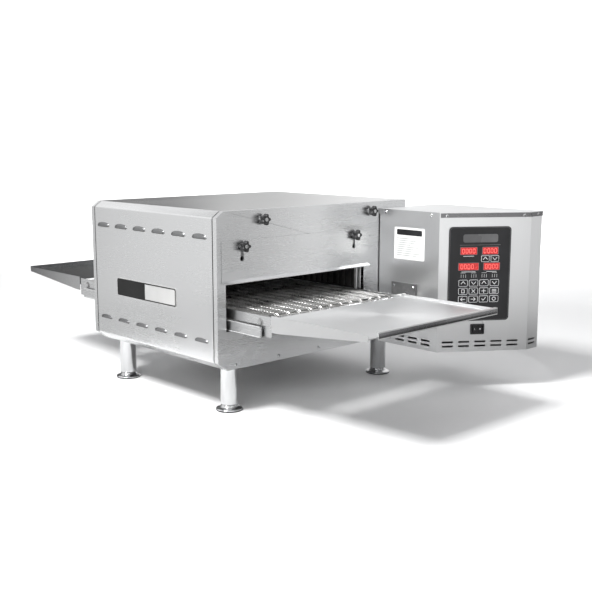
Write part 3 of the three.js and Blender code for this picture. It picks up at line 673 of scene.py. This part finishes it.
def makeFoot(corner):
    low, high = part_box("foot_" + corner)
    middle = (low + high) / 2
    at = Matrix.Translation((middle.x, middle.y, 0))
    radius, rim, neck, top, stem = (footShape[key] for key in ("radius", "rim", "neck", "top", "stem"))
    # dark non-slip pad under a turned flange that swells up into the neck
    thick = footShape["pad"]
    pad = [(0, 0), (radius - 0.0016, 0), (radius - 0.0004, 0.0004), (radius, 0.0012), (radius, thick),
           (0, thick)]
    flange = thick + 0.0001
    profile = [(0, flange), (radius - 0.001, flange), (radius - 0.0003, 0.0031), (radius - 0.0002, 0.0042),
               (radius - 0.0012, 0.0055), (radius - 0.004, rim), (neck + 0.0045, rim + 0.0014),
               (neck + 0.0022, rim + 0.0028), (neck + 0.0009, rim + 0.0048), (neck + 0.0004, top - 0.0012),
               (neck - 0.0002, top - 0.0003), (neck - 0.001, top), (stem + 0.001, top)]
    for k in range(footShape["turns"]):
        z = top + 0.001 + k * footShape["pitch"]
        profile += [(stem, z), (stem - footShape["thread"], z + footShape["pitch"] / 2)]
    profile += [(stem - 0.001, high.z), (0, high.z)]
    bm = bmesh.new()
    addLathe(bm, pad, 64, at, 1)
    addLathe(bm, profile, 64, at)
    foot = finishMesh("foot_pad_" + corner, bm, "foot_" + corner,
                      [legSteel, knobBlack], 40)
    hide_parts("foot_" + corner)


for corner in ("exit_near", "exit_far", "entry_near", "entry_far"):
    makeLeg(corner)
    makeFoot(corner)
print("legs made")


# wire belt

beltShape = {"wire": 0.0009, "pitch": 0.0095, "spaces": 12, "hook": 0.007, "sides": 5}


def makeBelt():
    low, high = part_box("wire_belt")
    middleZ = (low.z + high.z) / 2
    radius = (high.z - low.z) / 2 - 0.0018
    straight = high.x - low.x - (high.z - low.z)
    half = straight / 2
    length = 2 * straight + 2 * math.pi * radius
    count = round(length / beltShape["pitch"])
    pitch = length / count
    y0, y1 = low.y + 0.002, high.y - 0.002
    space = (y1 - y0) / beltShape["spaces"]

    def onLoop(distance, lift=0.0):
        # place and lift along the running loop, starting at the exit end of the top strand
        s = distance % length
        r = radius + lift
        if s < straight:
            return Vector((half - s, 0, middleZ + r))
        s -= straight
        if s < math.pi * radius:
            a = math.pi / 2 + s / radius
            return Vector((-half + r * math.cos(a), 0, middleZ + r * math.sin(a)))
        s -= math.pi * radius
        if s < straight:
            return Vector((-half + s, 0, middleZ - r))
        a = -math.pi / 2 + (s - straight) / radius
        return Vector((half + r * math.cos(a), 0, middleZ + r * math.sin(a)))

    bm = bmesh.new()
    for k in range(count):
        s = k * pitch
        points = []

        def put(along, y, lift=0.0):
            spot = onLoop(s + along, lift)
            spot.y = y
            points.append(spot)

        put(pitch * 1.06, y0)
        put(pitch * 0.5, y0 + 0.0004)
        put(0.0008, y0 + 0.0002)
        put(0, y0 + 0.0012)
        for j in range(1, beltShape["spaces"]):
            y = y0 + j * space
            h = beltShape["hook"] / 2
            put(0, y - h - 0.001)
            put(0.0012, y - h)
            put(pitch * 0.6, y - h, -0.0006)
            put(pitch * 1.02, y - h + 0.0004, 0.0010)
            put(pitch * 1.13, y - h + 0.0018, 0.0004)
            put(pitch * 1.13, y + h - 0.0018, 0.0004)
            put(pitch * 1.02, y + h - 0.0004, 0.0010)
            put(pitch * 0.6, y + h, -0.0006)
            put(0.0012, y + h)
            put(0, y + h + 0.001)
        put(0, y1 - 0.0012)
        put(0.0008, y1 - 0.0002)
        put(pitch * 0.5, y1 - 0.0004)
        put(pitch * 1.06, y1)
        addTube(bm, points, beltShape["wire"], beltShape["sides"])
    belt = finishMesh("wire_belt_links", bm, "root", [beltWire], 60)
    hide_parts("wire_belt")


makeBelt()
print("belt made")


# control head details on the sloping face

lidLow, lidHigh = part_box("control_lid")
head = {"faceA": 0.193, "run": 0.132, "rise": 0.189}
cornerAB = Vector((panelHigh.x + head["faceA"], lidLow.y, 0))
slopeAngle = math.atan2(head["rise"], head["run"])
# local u runs along the slope, v is height, w points out of the face
onSlope = (Matrix.Translation(cornerAB) @ Matrix.Rotation(slopeAngle, 4, "Z")
           @ facePlane((0, 0, 0), "x", "z", "-y"))
onFaceA = facePlane((panelHigh.x, lidLow.y, 0), "x", "z", "-y")
onExit = facePlane((panelHigh.x, nearY, 0), "y", "z", "x")
onNear = facePlane((0, nearY, 0), "x", "z", "-y")
onHeadSide = facePlane((lidHigh.x, 0, 0), "y", "z", "x")
onHeadBack = facePlane((0, lidHigh.y, 0), "-x", "z", "y")
onFarCover = facePlane((0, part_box("side_cover_far")[1].y, 0), "-x", "z", "y")

keypad = {
    "face": 0.0006, "sunk": 0.0004, "film": (0.025, 0.180, 0.174, 0.404),
    "keyline": ((0.0016, 0.0085), (0.0026, 0.0075)),  # inset and corner of its two edges
    "band": (0.060, 0.147, 0.366, 0.386), "rule": (0.052, 0.154, 0.3592, 0.3604),
    "windows": ((0.054, 0.095, 0.337, 0.354), (0.109, 0.148, 0.337, 0.354),
                (0.050, 0.100, 0.299, 0.316), (0.113, 0.153, 0.299, 0.316)),
    "bezel": 0.0012, "underline": {"in": 0.008, "down": 0.0042, "wide": 0.0011},
    "arrowKeys": ((0.1055, "up"), (0.1295, "down")), "arrowTop": 0.3345, "arrowSize": (0.0215, 0.0165),
    "keyU": 0.0505, "keyV": 0.276, "pitchU": 0.0262, "pitchV": 0.0198, "keySize": (0.0238, 0.0172),
    "marks": (("up", "down", "up", "down"), ("square", "cross", "fan", "bars"),
              ("left", "right", "tick", "ring")),
    "raise": 0.0009, "printEdge": 0.0005, "padEdge": 0.0014, "line": 0.0013,
    "lamps": {"count": 3, "u": 0.0565, "pitch": 0.0056, "wide": 0.0011, "v": (0.2805, 0.2885)},
    "bracket": {"u": 0.0555, "wide": 0.013, "v": (0.2915, 0.2926)},
}


def addStroke(bm, points, width, matrix, low, high, index):
    for (u0, v0), (u1, v1) in zip(points, points[1:]):
        along = Vector((u1 - u0, v1 - v0))
        side = Vector((-along.y, along.x)).normalized() * width / 2
        ends = along.normalized() * width / 2
        a, b = Vector((u0, v0)) - ends, Vector((u1, v1)) + ends
        corners = [a + side, a - side, b - side, b + side]
        addPrism(bm, [(p.x, p.y) for p in corners], low, high, matrix, index)


keyMarks = {
    "up": [[(-0.3, -0.1), (0, 0.25), (0.3, -0.1)]],
    "down": [[(-0.3, 0.15), (0, -0.2), (0.3, 0.15)]],
    "left": [[(0.3, 0), (-0.3, 0)], [(-0.08, 0.22), (-0.32, 0), (-0.08, -0.22)]],
    "right": [[(-0.3, 0), (0.3, 0)], [(0.08, 0.22), (0.32, 0), (0.08, -0.22)]],
    "square": [[(-0.2, -0.22), (0.2, -0.22), (0.2, 0.22), (-0.2, 0.22), (-0.2, -0.22)]],
    "cross": [[(-0.22, -0.22), (0.22, 0.22)], [(-0.22, 0.22), (0.22, -0.22)]],
    "bars": [[(-0.28, 0.18), (0.28, 0.18)], [(-0.28, -0.02), (0.28, -0.02)], [(-0.28, -0.22), (0.28, -0.22)]],
    "fan": [[(0, -0.28), (0, 0.28)], [(-0.28, 0), (0.28, 0)]],
    "tick": [[(-0.26, 0.02), (-0.06, -0.2), (0.28, 0.22)]],
    "ring": [[(0.24 * math.cos(k * math.pi / 6), 0.24 * math.sin(k * math.pi / 6)) for k in range(13)]],
}


def addKey(bm, u, v, size, mark):
    face, lift, edge = keypad["face"], keypad["raise"], keypad["padEdge"]
    width, height = size
    pad = (u, u + width, v - height, v)
    inner = insetOutline(pad, edge, 0.002)
    # domed pad: a stepped press with a soft shoulder, then the printed outline
    addPrism(bm, insetOutline(pad, 0, 0.003), face - keypad["sunk"], face + lift * 0.6, onSlope, 0)
    addPrism(bm, inner, face, face + lift, onSlope, 0)
    addRing(bm, insetOutline(pad, keypad["printEdge"], 0.0028), inner, face + lift * 0.5, face + lift * 0.85,
            onSlope, 1)
    mu, mv = u + width / 2, v - height / 2
    for line in keyMarks[mark]:
        points = [(mu + a * height, mv + b * height) for a, b in line]
        addStroke(bm, points, keypad["line"], onSlope, face + lift * 0.8, face + lift + 0.00012, 1)


def makeKeypad():
    bm = bmesh.new()
    face = keypad["face"]
    sunk = face - keypad["sunk"]

    def addPrint(outline, height, index):
        addPrism(bm, outline, sunk, face + height, onSlope, index)

    # dark keyline just inside the film's edge
    outer, inner = (insetOutline(keypad["film"], *edge) for edge in keypad["keyline"])
    addRing(bm, outer, inner, sunk, face + 0.0001, onSlope, 3)
    # header band left blank, with a thin rule under it
    addPrint(insetOutline(keypad["band"], 0, 0.005), 0.00012, 3)
    addPrint(insetOutline(keypad["rule"], 0, 0.0005), 0.0001, 3)
    under = keypad["underline"]
    for window in keypad["windows"]:
        clear = insetOutline(window, 0, 0.0012)
        addRing(bm, insetOutline(window, -keypad["bezel"], 0.002), clear, sunk, face + 0.0004, onSlope, 3)
        addPrint(clear, 0.0002, 2)
        v = window[2] - under["down"]
        addStroke(bm, [(window[0] + under["in"], v), (window[1] - under["in"], v)], under["wide"], onSlope,
                  sunk, face + 0.0001, 1)
    for u, mark in keypad["arrowKeys"]:
        addKey(bm, u, keypad["arrowTop"], keypad["arrowSize"], mark)
    for row, line in enumerate(keypad["marks"]):
        for column, mark in enumerate(line):
            addKey(bm, keypad["keyU"] + column * keypad["pitchU"], keypad["keyV"] - row * keypad["pitchV"],
                   keypad["keySize"], mark)
    lamps, bracket = keypad["lamps"], keypad["bracket"]
    for group in range(len(keypad["marks"][0])):
        for lamp in range(lamps["count"]):
            u = lamps["u"] + group * keypad["pitchU"] + lamp * lamps["pitch"]
            addPrint(roundedOutline(u, u + lamps["wide"], *lamps["v"], 0.0004, 3), 0.0003, 4)
        u = bracket["u"] + group * keypad["pitchU"]
        addPrint(roundedOutline(u, u + bracket["wide"], *bracket["v"], 0.0004, 3), 0.0002, 4)
    finishMesh("keypad_print", bm, "root",
               [filmBlack, filmWhite, displayRed, filmGrey, lampPale], 30)


digits = {
    "wide": 0.0052, "tall": 0.0098, "stroke": 0.0011, "pitch": 0.0088, "count": 4,
    "starts": ((0.0585, 0.3405), (0.1125, 0.3405), (0.0555, 0.3025), (0.1170, 0.3025)),
}


def makeDigits():
    # seven-segment figures behind each window, all showing zeros
    bm = bmesh.new()
    face, stroke = keypad["face"], digits["stroke"]
    w, h = digits["wide"], digits["tall"]
    for u, v in digits["starts"]:
        for k in range(digits["count"]):
            a = u + k * digits["pitch"]
            segments = [((a, v), (a + w, v)), ((a, v + h), (a + w, v + h)), ((a, v), (a, v + h / 2)),
                        ((a, v + h / 2), (a, v + h)), ((a + w, v), (a + w, v + h / 2)),
                        ((a + w, v + h / 2), (a + w, v + h))]
            for start, stop in segments:
                p0, p1 = Vector(start), Vector(stop)
                trim = (p1 - p0).normalized() * stroke * 0.8
                addStroke(bm, [tuple(p0 + trim), tuple(p1 - trim)], stroke, onSlope,
                          face + 0.0001, face + 0.0004, 0)
    finishMesh("display_figures", bm, "root", [digitGlow], 30)


makeKeypad()
makeDigits()
print("keypad made")


# rocker switch

rockerShape = {
    "u": 0.102, "v": 0.153, "half": 0.0122, "tall": 0.009, "steps": 16,
    "pressed": -0.0004, "raised": 0.0048, "ridge": 0.0015, "dish": 0.0005, "sink": 0.0009,
    "keel": (0.004, -0.0128), "dot": (0.0070, 0.0018), "bar": (-0.0071, 0.0005, 0.002),
}


def makeRocker():
    bm = bmesh.new()
    u, v, half, tall = (rockerShape[key] for key in ("u", "v", "half", "tall"))
    profile = []
    for k in range(rockerShape["steps"] + 1):
        t = -1 + 2 * k / rockerShape["steps"]
        # two shallow dished halves meeting at a ridge
        dish = rockerShape["dish"] * math.sin(math.pi * abs(t))
        end = rockerShape["raised"] if t < 0 else rockerShape["pressed"]
        out = end * abs(t) + rockerShape["ridge"] * (1 - abs(t)) - dish
        profile.append((t * half, out - rockerShape["sink"]))
    keelHalf, keelDepth = rockerShape["keel"]
    profile += [(half - 0.0003, -0.005), (keelHalf, keelDepth), (-keelHalf, keelDepth),
                (-half + 0.0002, -0.003)]
    turn = onSlope @ facePlane((u, v, 0), "x", "z", "y")
    addPrism(bm, profile, -tall, tall, turn, 0)
    # a round mark on the pressed half and a bar on the raised one
    place, size = rockerShape["dot"]
    dot = (u + place - size, u + place + size, v - size, v + size)
    addRing(bm, insetOutline(dot, 0, 0.0017), insetOutline(dot, 0.0007, 0.001), -0.0014, -0.0004, onSlope, 1)
    place, wide, high = rockerShape["bar"]
    bar = (u + place - wide, u + place + wide, v - high, v + high)
    addPrism(bm, insetOutline(bar, 0, 0.0004), 0.0008, 0.00225, onSlope, 1)
    rocker = finishMesh("rocker_cap", bm, "rocker", [switchBlack, filmWhite], 30)
    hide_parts("rocker")
    edge = rocker.modifiers.new("edge", "BEVEL")
    edge.width = 0.0003
    edge.segments = 2
    edge.limit_method = "ANGLE"


makeRocker()
print("rocker made")


# screws, plates and ribs

def addScrew(bm, matrix, u, v, face, radius=0.0042):
    # pan head with a cross recess, painted shade: the recess is a near-black cross set into the head
    spot = matrix @ Matrix.Translation((u, v, face))
    addLathe(bm, [(0, -0.0006), (radius, -0.0006), (radius, 0.0004), (radius * 0.94, 0.0012),
                  (radius * 0.72, 0.0019), (radius * 0.45, 0.0023), (0, 0.0025)], 32, spot, 0)
    arm, wide = radius * 0.55, radius * 0.13
    turn = Matrix.Rotation(random.uniform(0, 1.5), 4, "Z")
    # painted shade: black cross standing in for the shaded recess
    addBox(bm, (-arm, -wide, 0.0016), (arm, wide, 0.00258), 1, spot @ turn)
    addBox(bm, (-wide, -arm, 0.0016), (wide, arm, 0.00258), 1, spot @ turn)


screws = {
    "lid": 0.0038, "bracket": 0.0034, "panel": 0.0036,  # head radius by place
    "lidZ": 0.4305, "faceA": (0.024, 0.168), "slope": (0.018, 0.212),
    "backZ": 0.4315, "sideIn": 0.022, "back": (0.03, 0.16, 0.295),
    "bracketU": (0.056, 0.118), "bracketV": (0.249, 0.2205), "bracketOut": 0.0024,
    "panelZ": 0.1125, "panelY": (0.05, 0.18, 0.31, 0.44, 0.57),
    "coverX": (-0.21, -0.07, 0.07, 0.21), "coverEdge": 0.014,
}
lidFoldShade = {"v": (0.4262, 0.4368), "inset": 0.003, "side": (0.052, 0.002), "proud": 0.0004}


def atEnd(side):
    # the exit panel's plane, or its mirror image at the entry end
    return Matrix.Diagonal((side, 1, 1, 1)) @ onExit


def screwRows():
    # plane, places on it, how far out, head radius
    yield onFaceA, [(u, screws["lidZ"]) for u in screws["faceA"]], 0.0, screws["lid"]
    yield onSlope, [(u, screws["lidZ"]) for u in screws["slope"]], 0.0, screws["lid"]
    yield onHeadSide, [(lidHigh.y - screws["sideIn"], screws["backZ"])], 0.0, screws["lid"]
    yield onHeadBack, [(-(panelHigh.x + x), screws["backZ"]) for x in screws["back"]], 0.0, screws["lid"]
    bracket = [(u, v) for u in screws["bracketU"] for v in screws["bracketV"]]
    yield onFaceA, bracket, screws["bracketOut"], screws["bracket"]
    for side in (1, -1):
        yield atEnd(side), [(y, screws["panelZ"]) for y in screws["panelY"]], 0.0, screws["panel"]
    # the far side cover is screwed on along its upper and lower edges
    low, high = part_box("side_cover_far")
    edges = (low.z + screws["coverEdge"], high.z - screws["coverEdge"])
    yield onFarCover, [(x, z) for x in screws["coverX"] for z in edges], 0.0, screws["panel"]


def makeScrews():
    bm = bmesh.new()
    for plane, places, out, radius in screwRows():
        for u, v in places:
            addScrew(bm, plane, u, v, out, radius)
    finishMesh("case_screws", bm, "root", [legSteel, switchBlack], 30)


def makeLidFoldShade():
    # painted shade: a thin dark strip stands in for the shadowed fold of the lid along the sloping face and
    # the exit side
    bm = bmesh.new()
    slopeRun = math.hypot(head["run"], head["rise"])
    proud, inset = lidFoldShade["proud"], lidFoldShade["inset"]
    start, stop = (lidHigh.y - reach for reach in lidFoldShade["side"])
    addPrism(bm, roundedOutline(inset, slopeRun - inset, *lidFoldShade["v"], 0.0006), -proud, proud, onSlope)
    addPrism(bm, roundedOutline(start, stop, *lidFoldShade["v"], 0.0006), -proud, proud, onHeadSide)
    finishMesh("lid_fold_shade", bm, "root", [shadeStripSteel], 30)


ratingLabel = {
    "plate": (0.052, 0.148, 0.317, 0.396), "title": (0.060, 0.140, 0.377, 0.391), "corner": 0.003,
    "lines": 9, "first": 0.368, "pitch": 0.0052, "tall": 0.0009, "short": 0.040, "ragged": 0.038,
}
nameplate = {
    "from": 0.398, "to": 0.151, "v": (0.228, 0.273), "thick": 0.0009, "corner": 0.006,
    "frame": ((0.0014, 0.005), (0.0042, 0.0032)),  # inset and corner of its two edges
    "darkPart": 0.121, "darkInset": 0.003,
}


def makeLabel():
    # blank rating label on the head: a title bar over plain lines of uneven length
    bm = bmesh.new()
    corner, left = ratingLabel["corner"], ratingLabel["title"][0]
    addPrism(bm, roundedOutline(*ratingLabel["plate"], corner), -0.002, -0.0008, onFaceA, 0)
    addPrism(bm, roundedOutline(*ratingLabel["title"], corner), -0.001, -0.00055, onFaceA, 1)
    for k in range(ratingLabel["lines"]):
        v = ratingLabel["first"] - k * ratingLabel["pitch"]
        right = left + ratingLabel["short"] + ratingLabel["ragged"] * ((k * 37) % 10) / 10
        line = roundedOutline(left, right, v, v + ratingLabel["tall"], 0.0003)
        addPrism(bm, line, -0.001, -0.0006, onFaceA, 2)
    finishMesh("rating_label", bm, "root", [labelWhite, filmBlack, filmGrey], 30)


def makeNameplate():
    # blank two-tone plate on the near side
    bm = bmesh.new()
    u0, u1 = panelHigh.x - nameplate["from"], panelHigh.x - nameplate["to"]
    low, high = nameplate["v"]
    plate = (u0, u1, low, high)
    thick, inset = nameplate["thick"], nameplate["darkInset"]
    addPrism(bm, insetOutline(plate, 0, nameplate["corner"]), 0.0, thick, onNear, 0)
    outer, inner = (insetOutline(plate, *edge) for edge in nameplate["frame"])
    addRing(bm, outer, inner, thick - 0.0001, thick + 0.0003, onNear, 1)
    dark = roundedOutline(u0 + inset, u0 + nameplate["darkPart"], low + inset, high - inset, 0.0034)
    addPrism(bm, dark, thick - 0.0001, thick + 0.00035, onNear, 1)
    finishMesh("side_nameplate", bm, "root", [plateSilver, seamShadeAndPlateBlack], 30)


ribs = {"count": 22, "half": 0.0045, "v": (0.240, 0.304), "corner": 0.004, "sunk": 0.0005, "proud": 0.006}
guides = {"in": 0.010, "half": 0.004, "y": (0.449, 0.4625), "thick": 0.0035, "z": (0.241, 0.3025)}


def makeRibs():
    # pressed ribs along the far wall of the tunnel
    bm = bmesh.new()
    low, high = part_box("chamber_wall_far")
    step = (high.x - low.x) / ribs["count"]
    outline = roundedOutline(-ribs["half"], ribs["half"], *ribs["v"], ribs["corner"], 5)
    for k in range(ribs["count"]):
        spot = facePlane((low.x + (k + 0.5) * step, low.y, 0), "x", "z", "-y")
        addPrism(bm, outline, -ribs["sunk"], ribs["proud"], spot, 0)
    finishMesh("tunnel_ribs", bm, "root", [chamberSteel], 40)


def makeGuides():
    # bright guide strips at the tunnel's two mouths
    bm = bmesh.new()
    z0, z1 = guides["z"]
    for side in (1, -1):
        x = side * (panelHigh.x - guides["in"])
        for y in guides["y"]:
            addBox(bm, (x - guides["half"], nearY + y, z0),
                   (x + guides["half"], nearY + y + guides["thick"], z1))
    strips = finishMesh("mouth_guides", bm, "root", [trayBright], 40)
    roundEdges(strips, 0.0004, 2)


hems = {"radius": 0.0011, "sides": 10, "gripIn": 0.012, "gripUp": 0.0135, "shutterIn": 0.0005}
trayShadeBand = {"cutSide": 0.031, "fullSide": 0.001, "half": 0.0004, "z": (0.2332, 0.2436)}
slotShade = {"y": (0.070, 0.430), "near": 0.0001, "far": 0.0004,
            "slot": (0.0034, 0.3455, 0.3805, 0.003), "mouth": (0.0055, 0.3445, 0.3555, 0.0054)}


def makeHems(end, side):
    # rolled rims on the crumb tray and the shutter
    rim = hems["radius"]

    def addHem(start, stop):
        addTube(bm, [Vector(start), Vector(stop)], rim, hems["sides"])

    low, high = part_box(end + "_crumb_tray")
    root, tip = (low.x, high.x) if side > 0 else (high.x, low.x)
    bm = bmesh.new()
    for y in (low.y, high.y):
        for z in (high.z - rim, low.z + rim):
            addHem((root, y, z), (tip, y, z))
    grip = low.z + hems["gripUp"]
    addHem((tip, low.y + hems["gripIn"], grip), (tip, high.y - hems["gripIn"], grip))
    finishMesh(end + "_crumb_rim", bm, end + "_crumb_tray", [trayBright], 60)
    low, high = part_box(end + "_shutter")
    lip = (high.x if side > 0 else low.x) - side * rim
    bm = bmesh.new()
    addHem((lip, low.y + hems["shutterIn"], low.z + rim), (lip, high.y - hems["shutterIn"], low.z + rim))
    finishMesh(end + "_shutter_hem", bm, end + "_shutter", [trayBright], 60)


def makeTrayShadeBand(end, side):
    # painted shade: a dark band on the front of the tray's lip, which stops short at the cut-away corner
    low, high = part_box(end + "_tray")
    tip = high.x if side > 0 else low.x
    short, full, half = (trayShadeBand[key] for key in ("cutSide", "fullSide", "half"))
    near, far = (short, full) if side > 0 else (full, short)
    z0, z1 = trayShadeBand["z"]
    bm = bmesh.new()
    addBox(bm, (tip - half, low.y + near, z0), (tip + half, high.y - far, z1))
    band = finishMesh(end + "_tray_shade_band", bm, end + "_tray", [shadeStripSteel], 30)
    roundEdges(band, 0.0002, 2)


def makeSlotShade(end, side):
    # painted shade: a dark sheet behind the shutter's keyhole slots stands in for the shade inside them
    bm = bmesh.new()
    for y in slotShade["y"]:
        for half, low, high, corner in (slotShade["slot"], slotShade["mouth"]):
            addPrism(bm, roundedOutline(y - half, y + half, low, high, corner),
                     slotShade["near"], slotShade["far"], atEnd(side))
    finishMesh(end + "_slot_shade", bm, "root", [paintedShadeSteel], 30)


makeScrews()
makeLidFoldShade()
makeLabel()
makeNameplate()
makeRibs()
makeGuides()
for end, side in (("exit", 1), ("entry", -1)):
    makeHems(end, side)
    makeTrayShadeBand(end, side)
    makeSlotShade(end, side)
print("screws, plates and ribs made")


# studio

studio = {
    "world": 0.17, "around": 1.5, "wall": 1.9, "lift": (0.65, 1.0), "clear": 0.75,
    "camera": {"azimuth": 46.77, "elevation": 9.58, "lens": 56.836, "at": (1.8351, -1.6293, 0.6133)},
    # what polished faces see all round: degrees from the exit side and brightness
    "ring": ((0, 1.4), (10, 0.6), (24, 0.26), (34, 1.25), (46, 0.72), (62, 0.95), (118, 1.1),
             (142, 0.6), (158, 0.16), (174, 0.07), (204, 0.10), (216, 0.75), (226, 0.95), (255, 1.1),
             (268, 0.4), (280, 1.1), (312, 0.9), (326, 0.35), (345, 1.5)),
    "underneath": ((0, 0.30), (20, 0.12), (70, 0.16), (110, 0.6), (200, 0.5), (240, 0.7), (320, 0.4),
                   (345, 0.30)),
    # name, place, aim, size, watts and how wide the light spreads in degrees
    "lights": (("overhead", (0.2, 0.3, 2.8), (0, 0, 0.2), (4.0, 3.6), 34, 180),
               ("key", (0.1, -2.2, 2.9), (0.1, 0, 0.1), (0.8, 0.8), 150, 180),
               ("front", (1.8, -2.8, 1.3), (0.1, 0, 0.25), (1.8, 1.2), 30, 180),
               ("backdrop", (-1.8, 1.9, 2.6), (-4.6, 5.0, 1.2), (3.4, 1.6), 330, 180),
               ("backFloor", (-1.6, 2.0, 2.9), (-2.3, 2.8, 0.0), (3.0, 1.6), 60, 90)),
}


floorShape = {"size": 9.0, "wide": 14.4, "bendAt": 4.95, "bend": 2.5, "steps": 24}


def makeFloor():
    # paper laid flat towards the camera and swept up behind the oven
    bm = bmesh.new()
    size, wide, bend, steps = (floorShape[key] for key in ("size", "wide", "bend", "steps"))
    start = floorShape["bendAt"]
    profile = [(-size, 0.0), (start, 0.0)]
    for k in range(1, steps + 1):
        a = math.pi / 2 * k / steps
        profile.append((start + bend * math.sin(a), bend - bend * math.cos(a)))
    profile.append((start + bend, size))
    rows = [[bm.verts.new((x, y, z)) for x in (-wide, wide)] for y, z in profile]
    for a, b in zip(rows, rows[1:]):
        bm.faces.new([a[0], a[1], b[1], b[0]])
    mesh = bpy.data.meshes.new("floor")
    bm.to_mesh(mesh)
    bm.free()
    for polygon in mesh.polygons:
        polygon.use_smooth = True
    paper = Finish("paperFloor", (0.9, 0.9, 0.9), 0, 0.7)
    cloud = paper.noise(1.3, detail=2)
    paper.color(paper.tint(cloud, (0.89, 0.89, 0.89), (0.92, 0.92, 0.92)))
    mesh.materials.append(paper.material)
    floor = bpy.data.objects.new("floor", mesh)
    bpy.context.scene.collection.objects.link(floor)
    # the sweep rises behind the oven, away from the camera
    floor.matrix_world = Matrix.Rotation(math.radians(studio["camera"]["azimuth"]), 4, "Z")


def addLight(name, place, target, size, power, spread):
    light = bpy.data.lights.new(name, "AREA")
    light.shape = "RECTANGLE"
    light.size, light.size_y = size
    light.energy = power
    light.spread = math.radians(spread)
    lamp = bpy.data.objects.new(name, light)
    bpy.context.scene.collection.objects.link(lamp)
    lamp.location = place
    lamp.rotation_euler = (Vector(target) - Vector(place)).to_track_quat("-Z", "Y").to_euler()
    return lamp


def glowAround(name, stops, lift):
    # brightness by direction round the oven, rising to full above the lift height
    finish = Finish(name, (0.0, 0.0, 0.0), 0, 1.0)
    parts = finish.node("ShaderNodeSeparateXYZ")
    finish.link(finish.place, parts.inputs[0])
    angle = finish.math("ARCTAN2", parts.outputs["Y"], parts.outputs["X"])
    turn = finish.math("FRACT", finish.math("ADD", finish.math("DIVIDE", angle, 2 * math.pi), 1.0), 0.0)
    ramp = finish.node("ShaderNodeValToRGB")
    ramp.color_ramp.interpolation = "EASE"
    marks = ramp.color_ramp.elements
    while len(marks) < len(stops) + 1:
        marks.new(0.5)
    for mark, (degrees, value) in zip(marks, (*stops, (360, stops[0][1]))):
        mark.position = degrees / 360
    for mark, (degrees, value) in zip(marks, (*stops, (360, stops[0][1]))):
        mark.color = (value, value, value, 1)
    finish.link(turn, ramp.inputs["Fac"])
    high = finish.remap(parts.outputs["Z"], lift[0], lift[1], 0, 1)
    shade = finish.node("ShaderNodeMix", data_type="RGBA")
    shade.inputs["B"].default_value = (1.1, 1.1, 1.1, 1)
    finish.link(ramp.outputs["Color"], shade.inputs["A"])
    finish.link(high, shade.inputs["Factor"])
    finish.link(shade.outputs["Result"], finish.shader.inputs["Emission Color"])
    finish.shader.inputs["Emission Strength"].default_value = 1.0
    return finish.material


def makeSurround():
    # reflector cards that only the polished steel sees
    radius, wall, clear, sides = studio["around"], studio["wall"], studio["clear"], 96
    for name, stops, rings in (("cardWall", studio["ring"], ((radius, 0.0), (radius, wall))),
                               ("cardFloor", studio["underneath"], ((clear, 0.002), (radius, 0.002)))):
        bm = bmesh.new()
        step = 2 * math.pi / sides
        loops = [[bm.verts.new((r * math.cos(k * step), r * math.sin(k * step), z)) for k in range(sides)]
                 for r, z in rings]
        for k in range(sides):
            n = (k + 1) % sides
            bm.faces.new([loops[0][k], loops[0][n], loops[1][n], loops[1][k]])
        mesh = bpy.data.meshes.new(name)
        bm.to_mesh(mesh)
        bm.free()
        mesh.materials.append(glowAround(name, stops, studio["lift"]))
        card = bpy.data.objects.new(name, mesh)
        bpy.context.scene.collection.objects.link(card)
        card.visible_camera = False
        card.visible_diffuse = False
        card.visible_shadow = False
        card.visible_transmission = False


def makeWorld():
    world = bpy.data.worlds.new("studio")
    world.use_nodes = True
    back = world.node_tree.nodes["Background"]
    back.inputs["Color"].default_value = (0.93, 0.95, 1.0, 1)
    back.inputs["Strength"].default_value = studio["world"]
    bpy.context.scene.world = world


def makeCamera():
    view = studio["camera"]
    azimuth, elevation = math.radians(view["azimuth"]), math.radians(view["elevation"])
    toward = -Vector((math.sin(azimuth) * math.cos(elevation), -math.cos(azimuth) * math.cos(elevation),
                      math.sin(elevation)))
    data = bpy.data.cameras.new("camera")
    data.sensor_width = 36
    data.lens = view["lens"]
    data.clip_start = 0.05
    data.clip_end = 60
    camera = bpy.data.objects.new("camera", data)
    bpy.context.scene.collection.objects.link(camera)
    camera.location = view["at"]
    camera.rotation_euler = toward.to_track_quat("-Z", "Y").to_euler()
    bpy.context.scene.camera = camera


makeFloor()
makeSurround()
makeWorld()
makeCamera()
for light in studio["lights"]:
    addLight(*light)
bpy.context.scene.view_settings.view_transform = "Standard"
print("studio made")
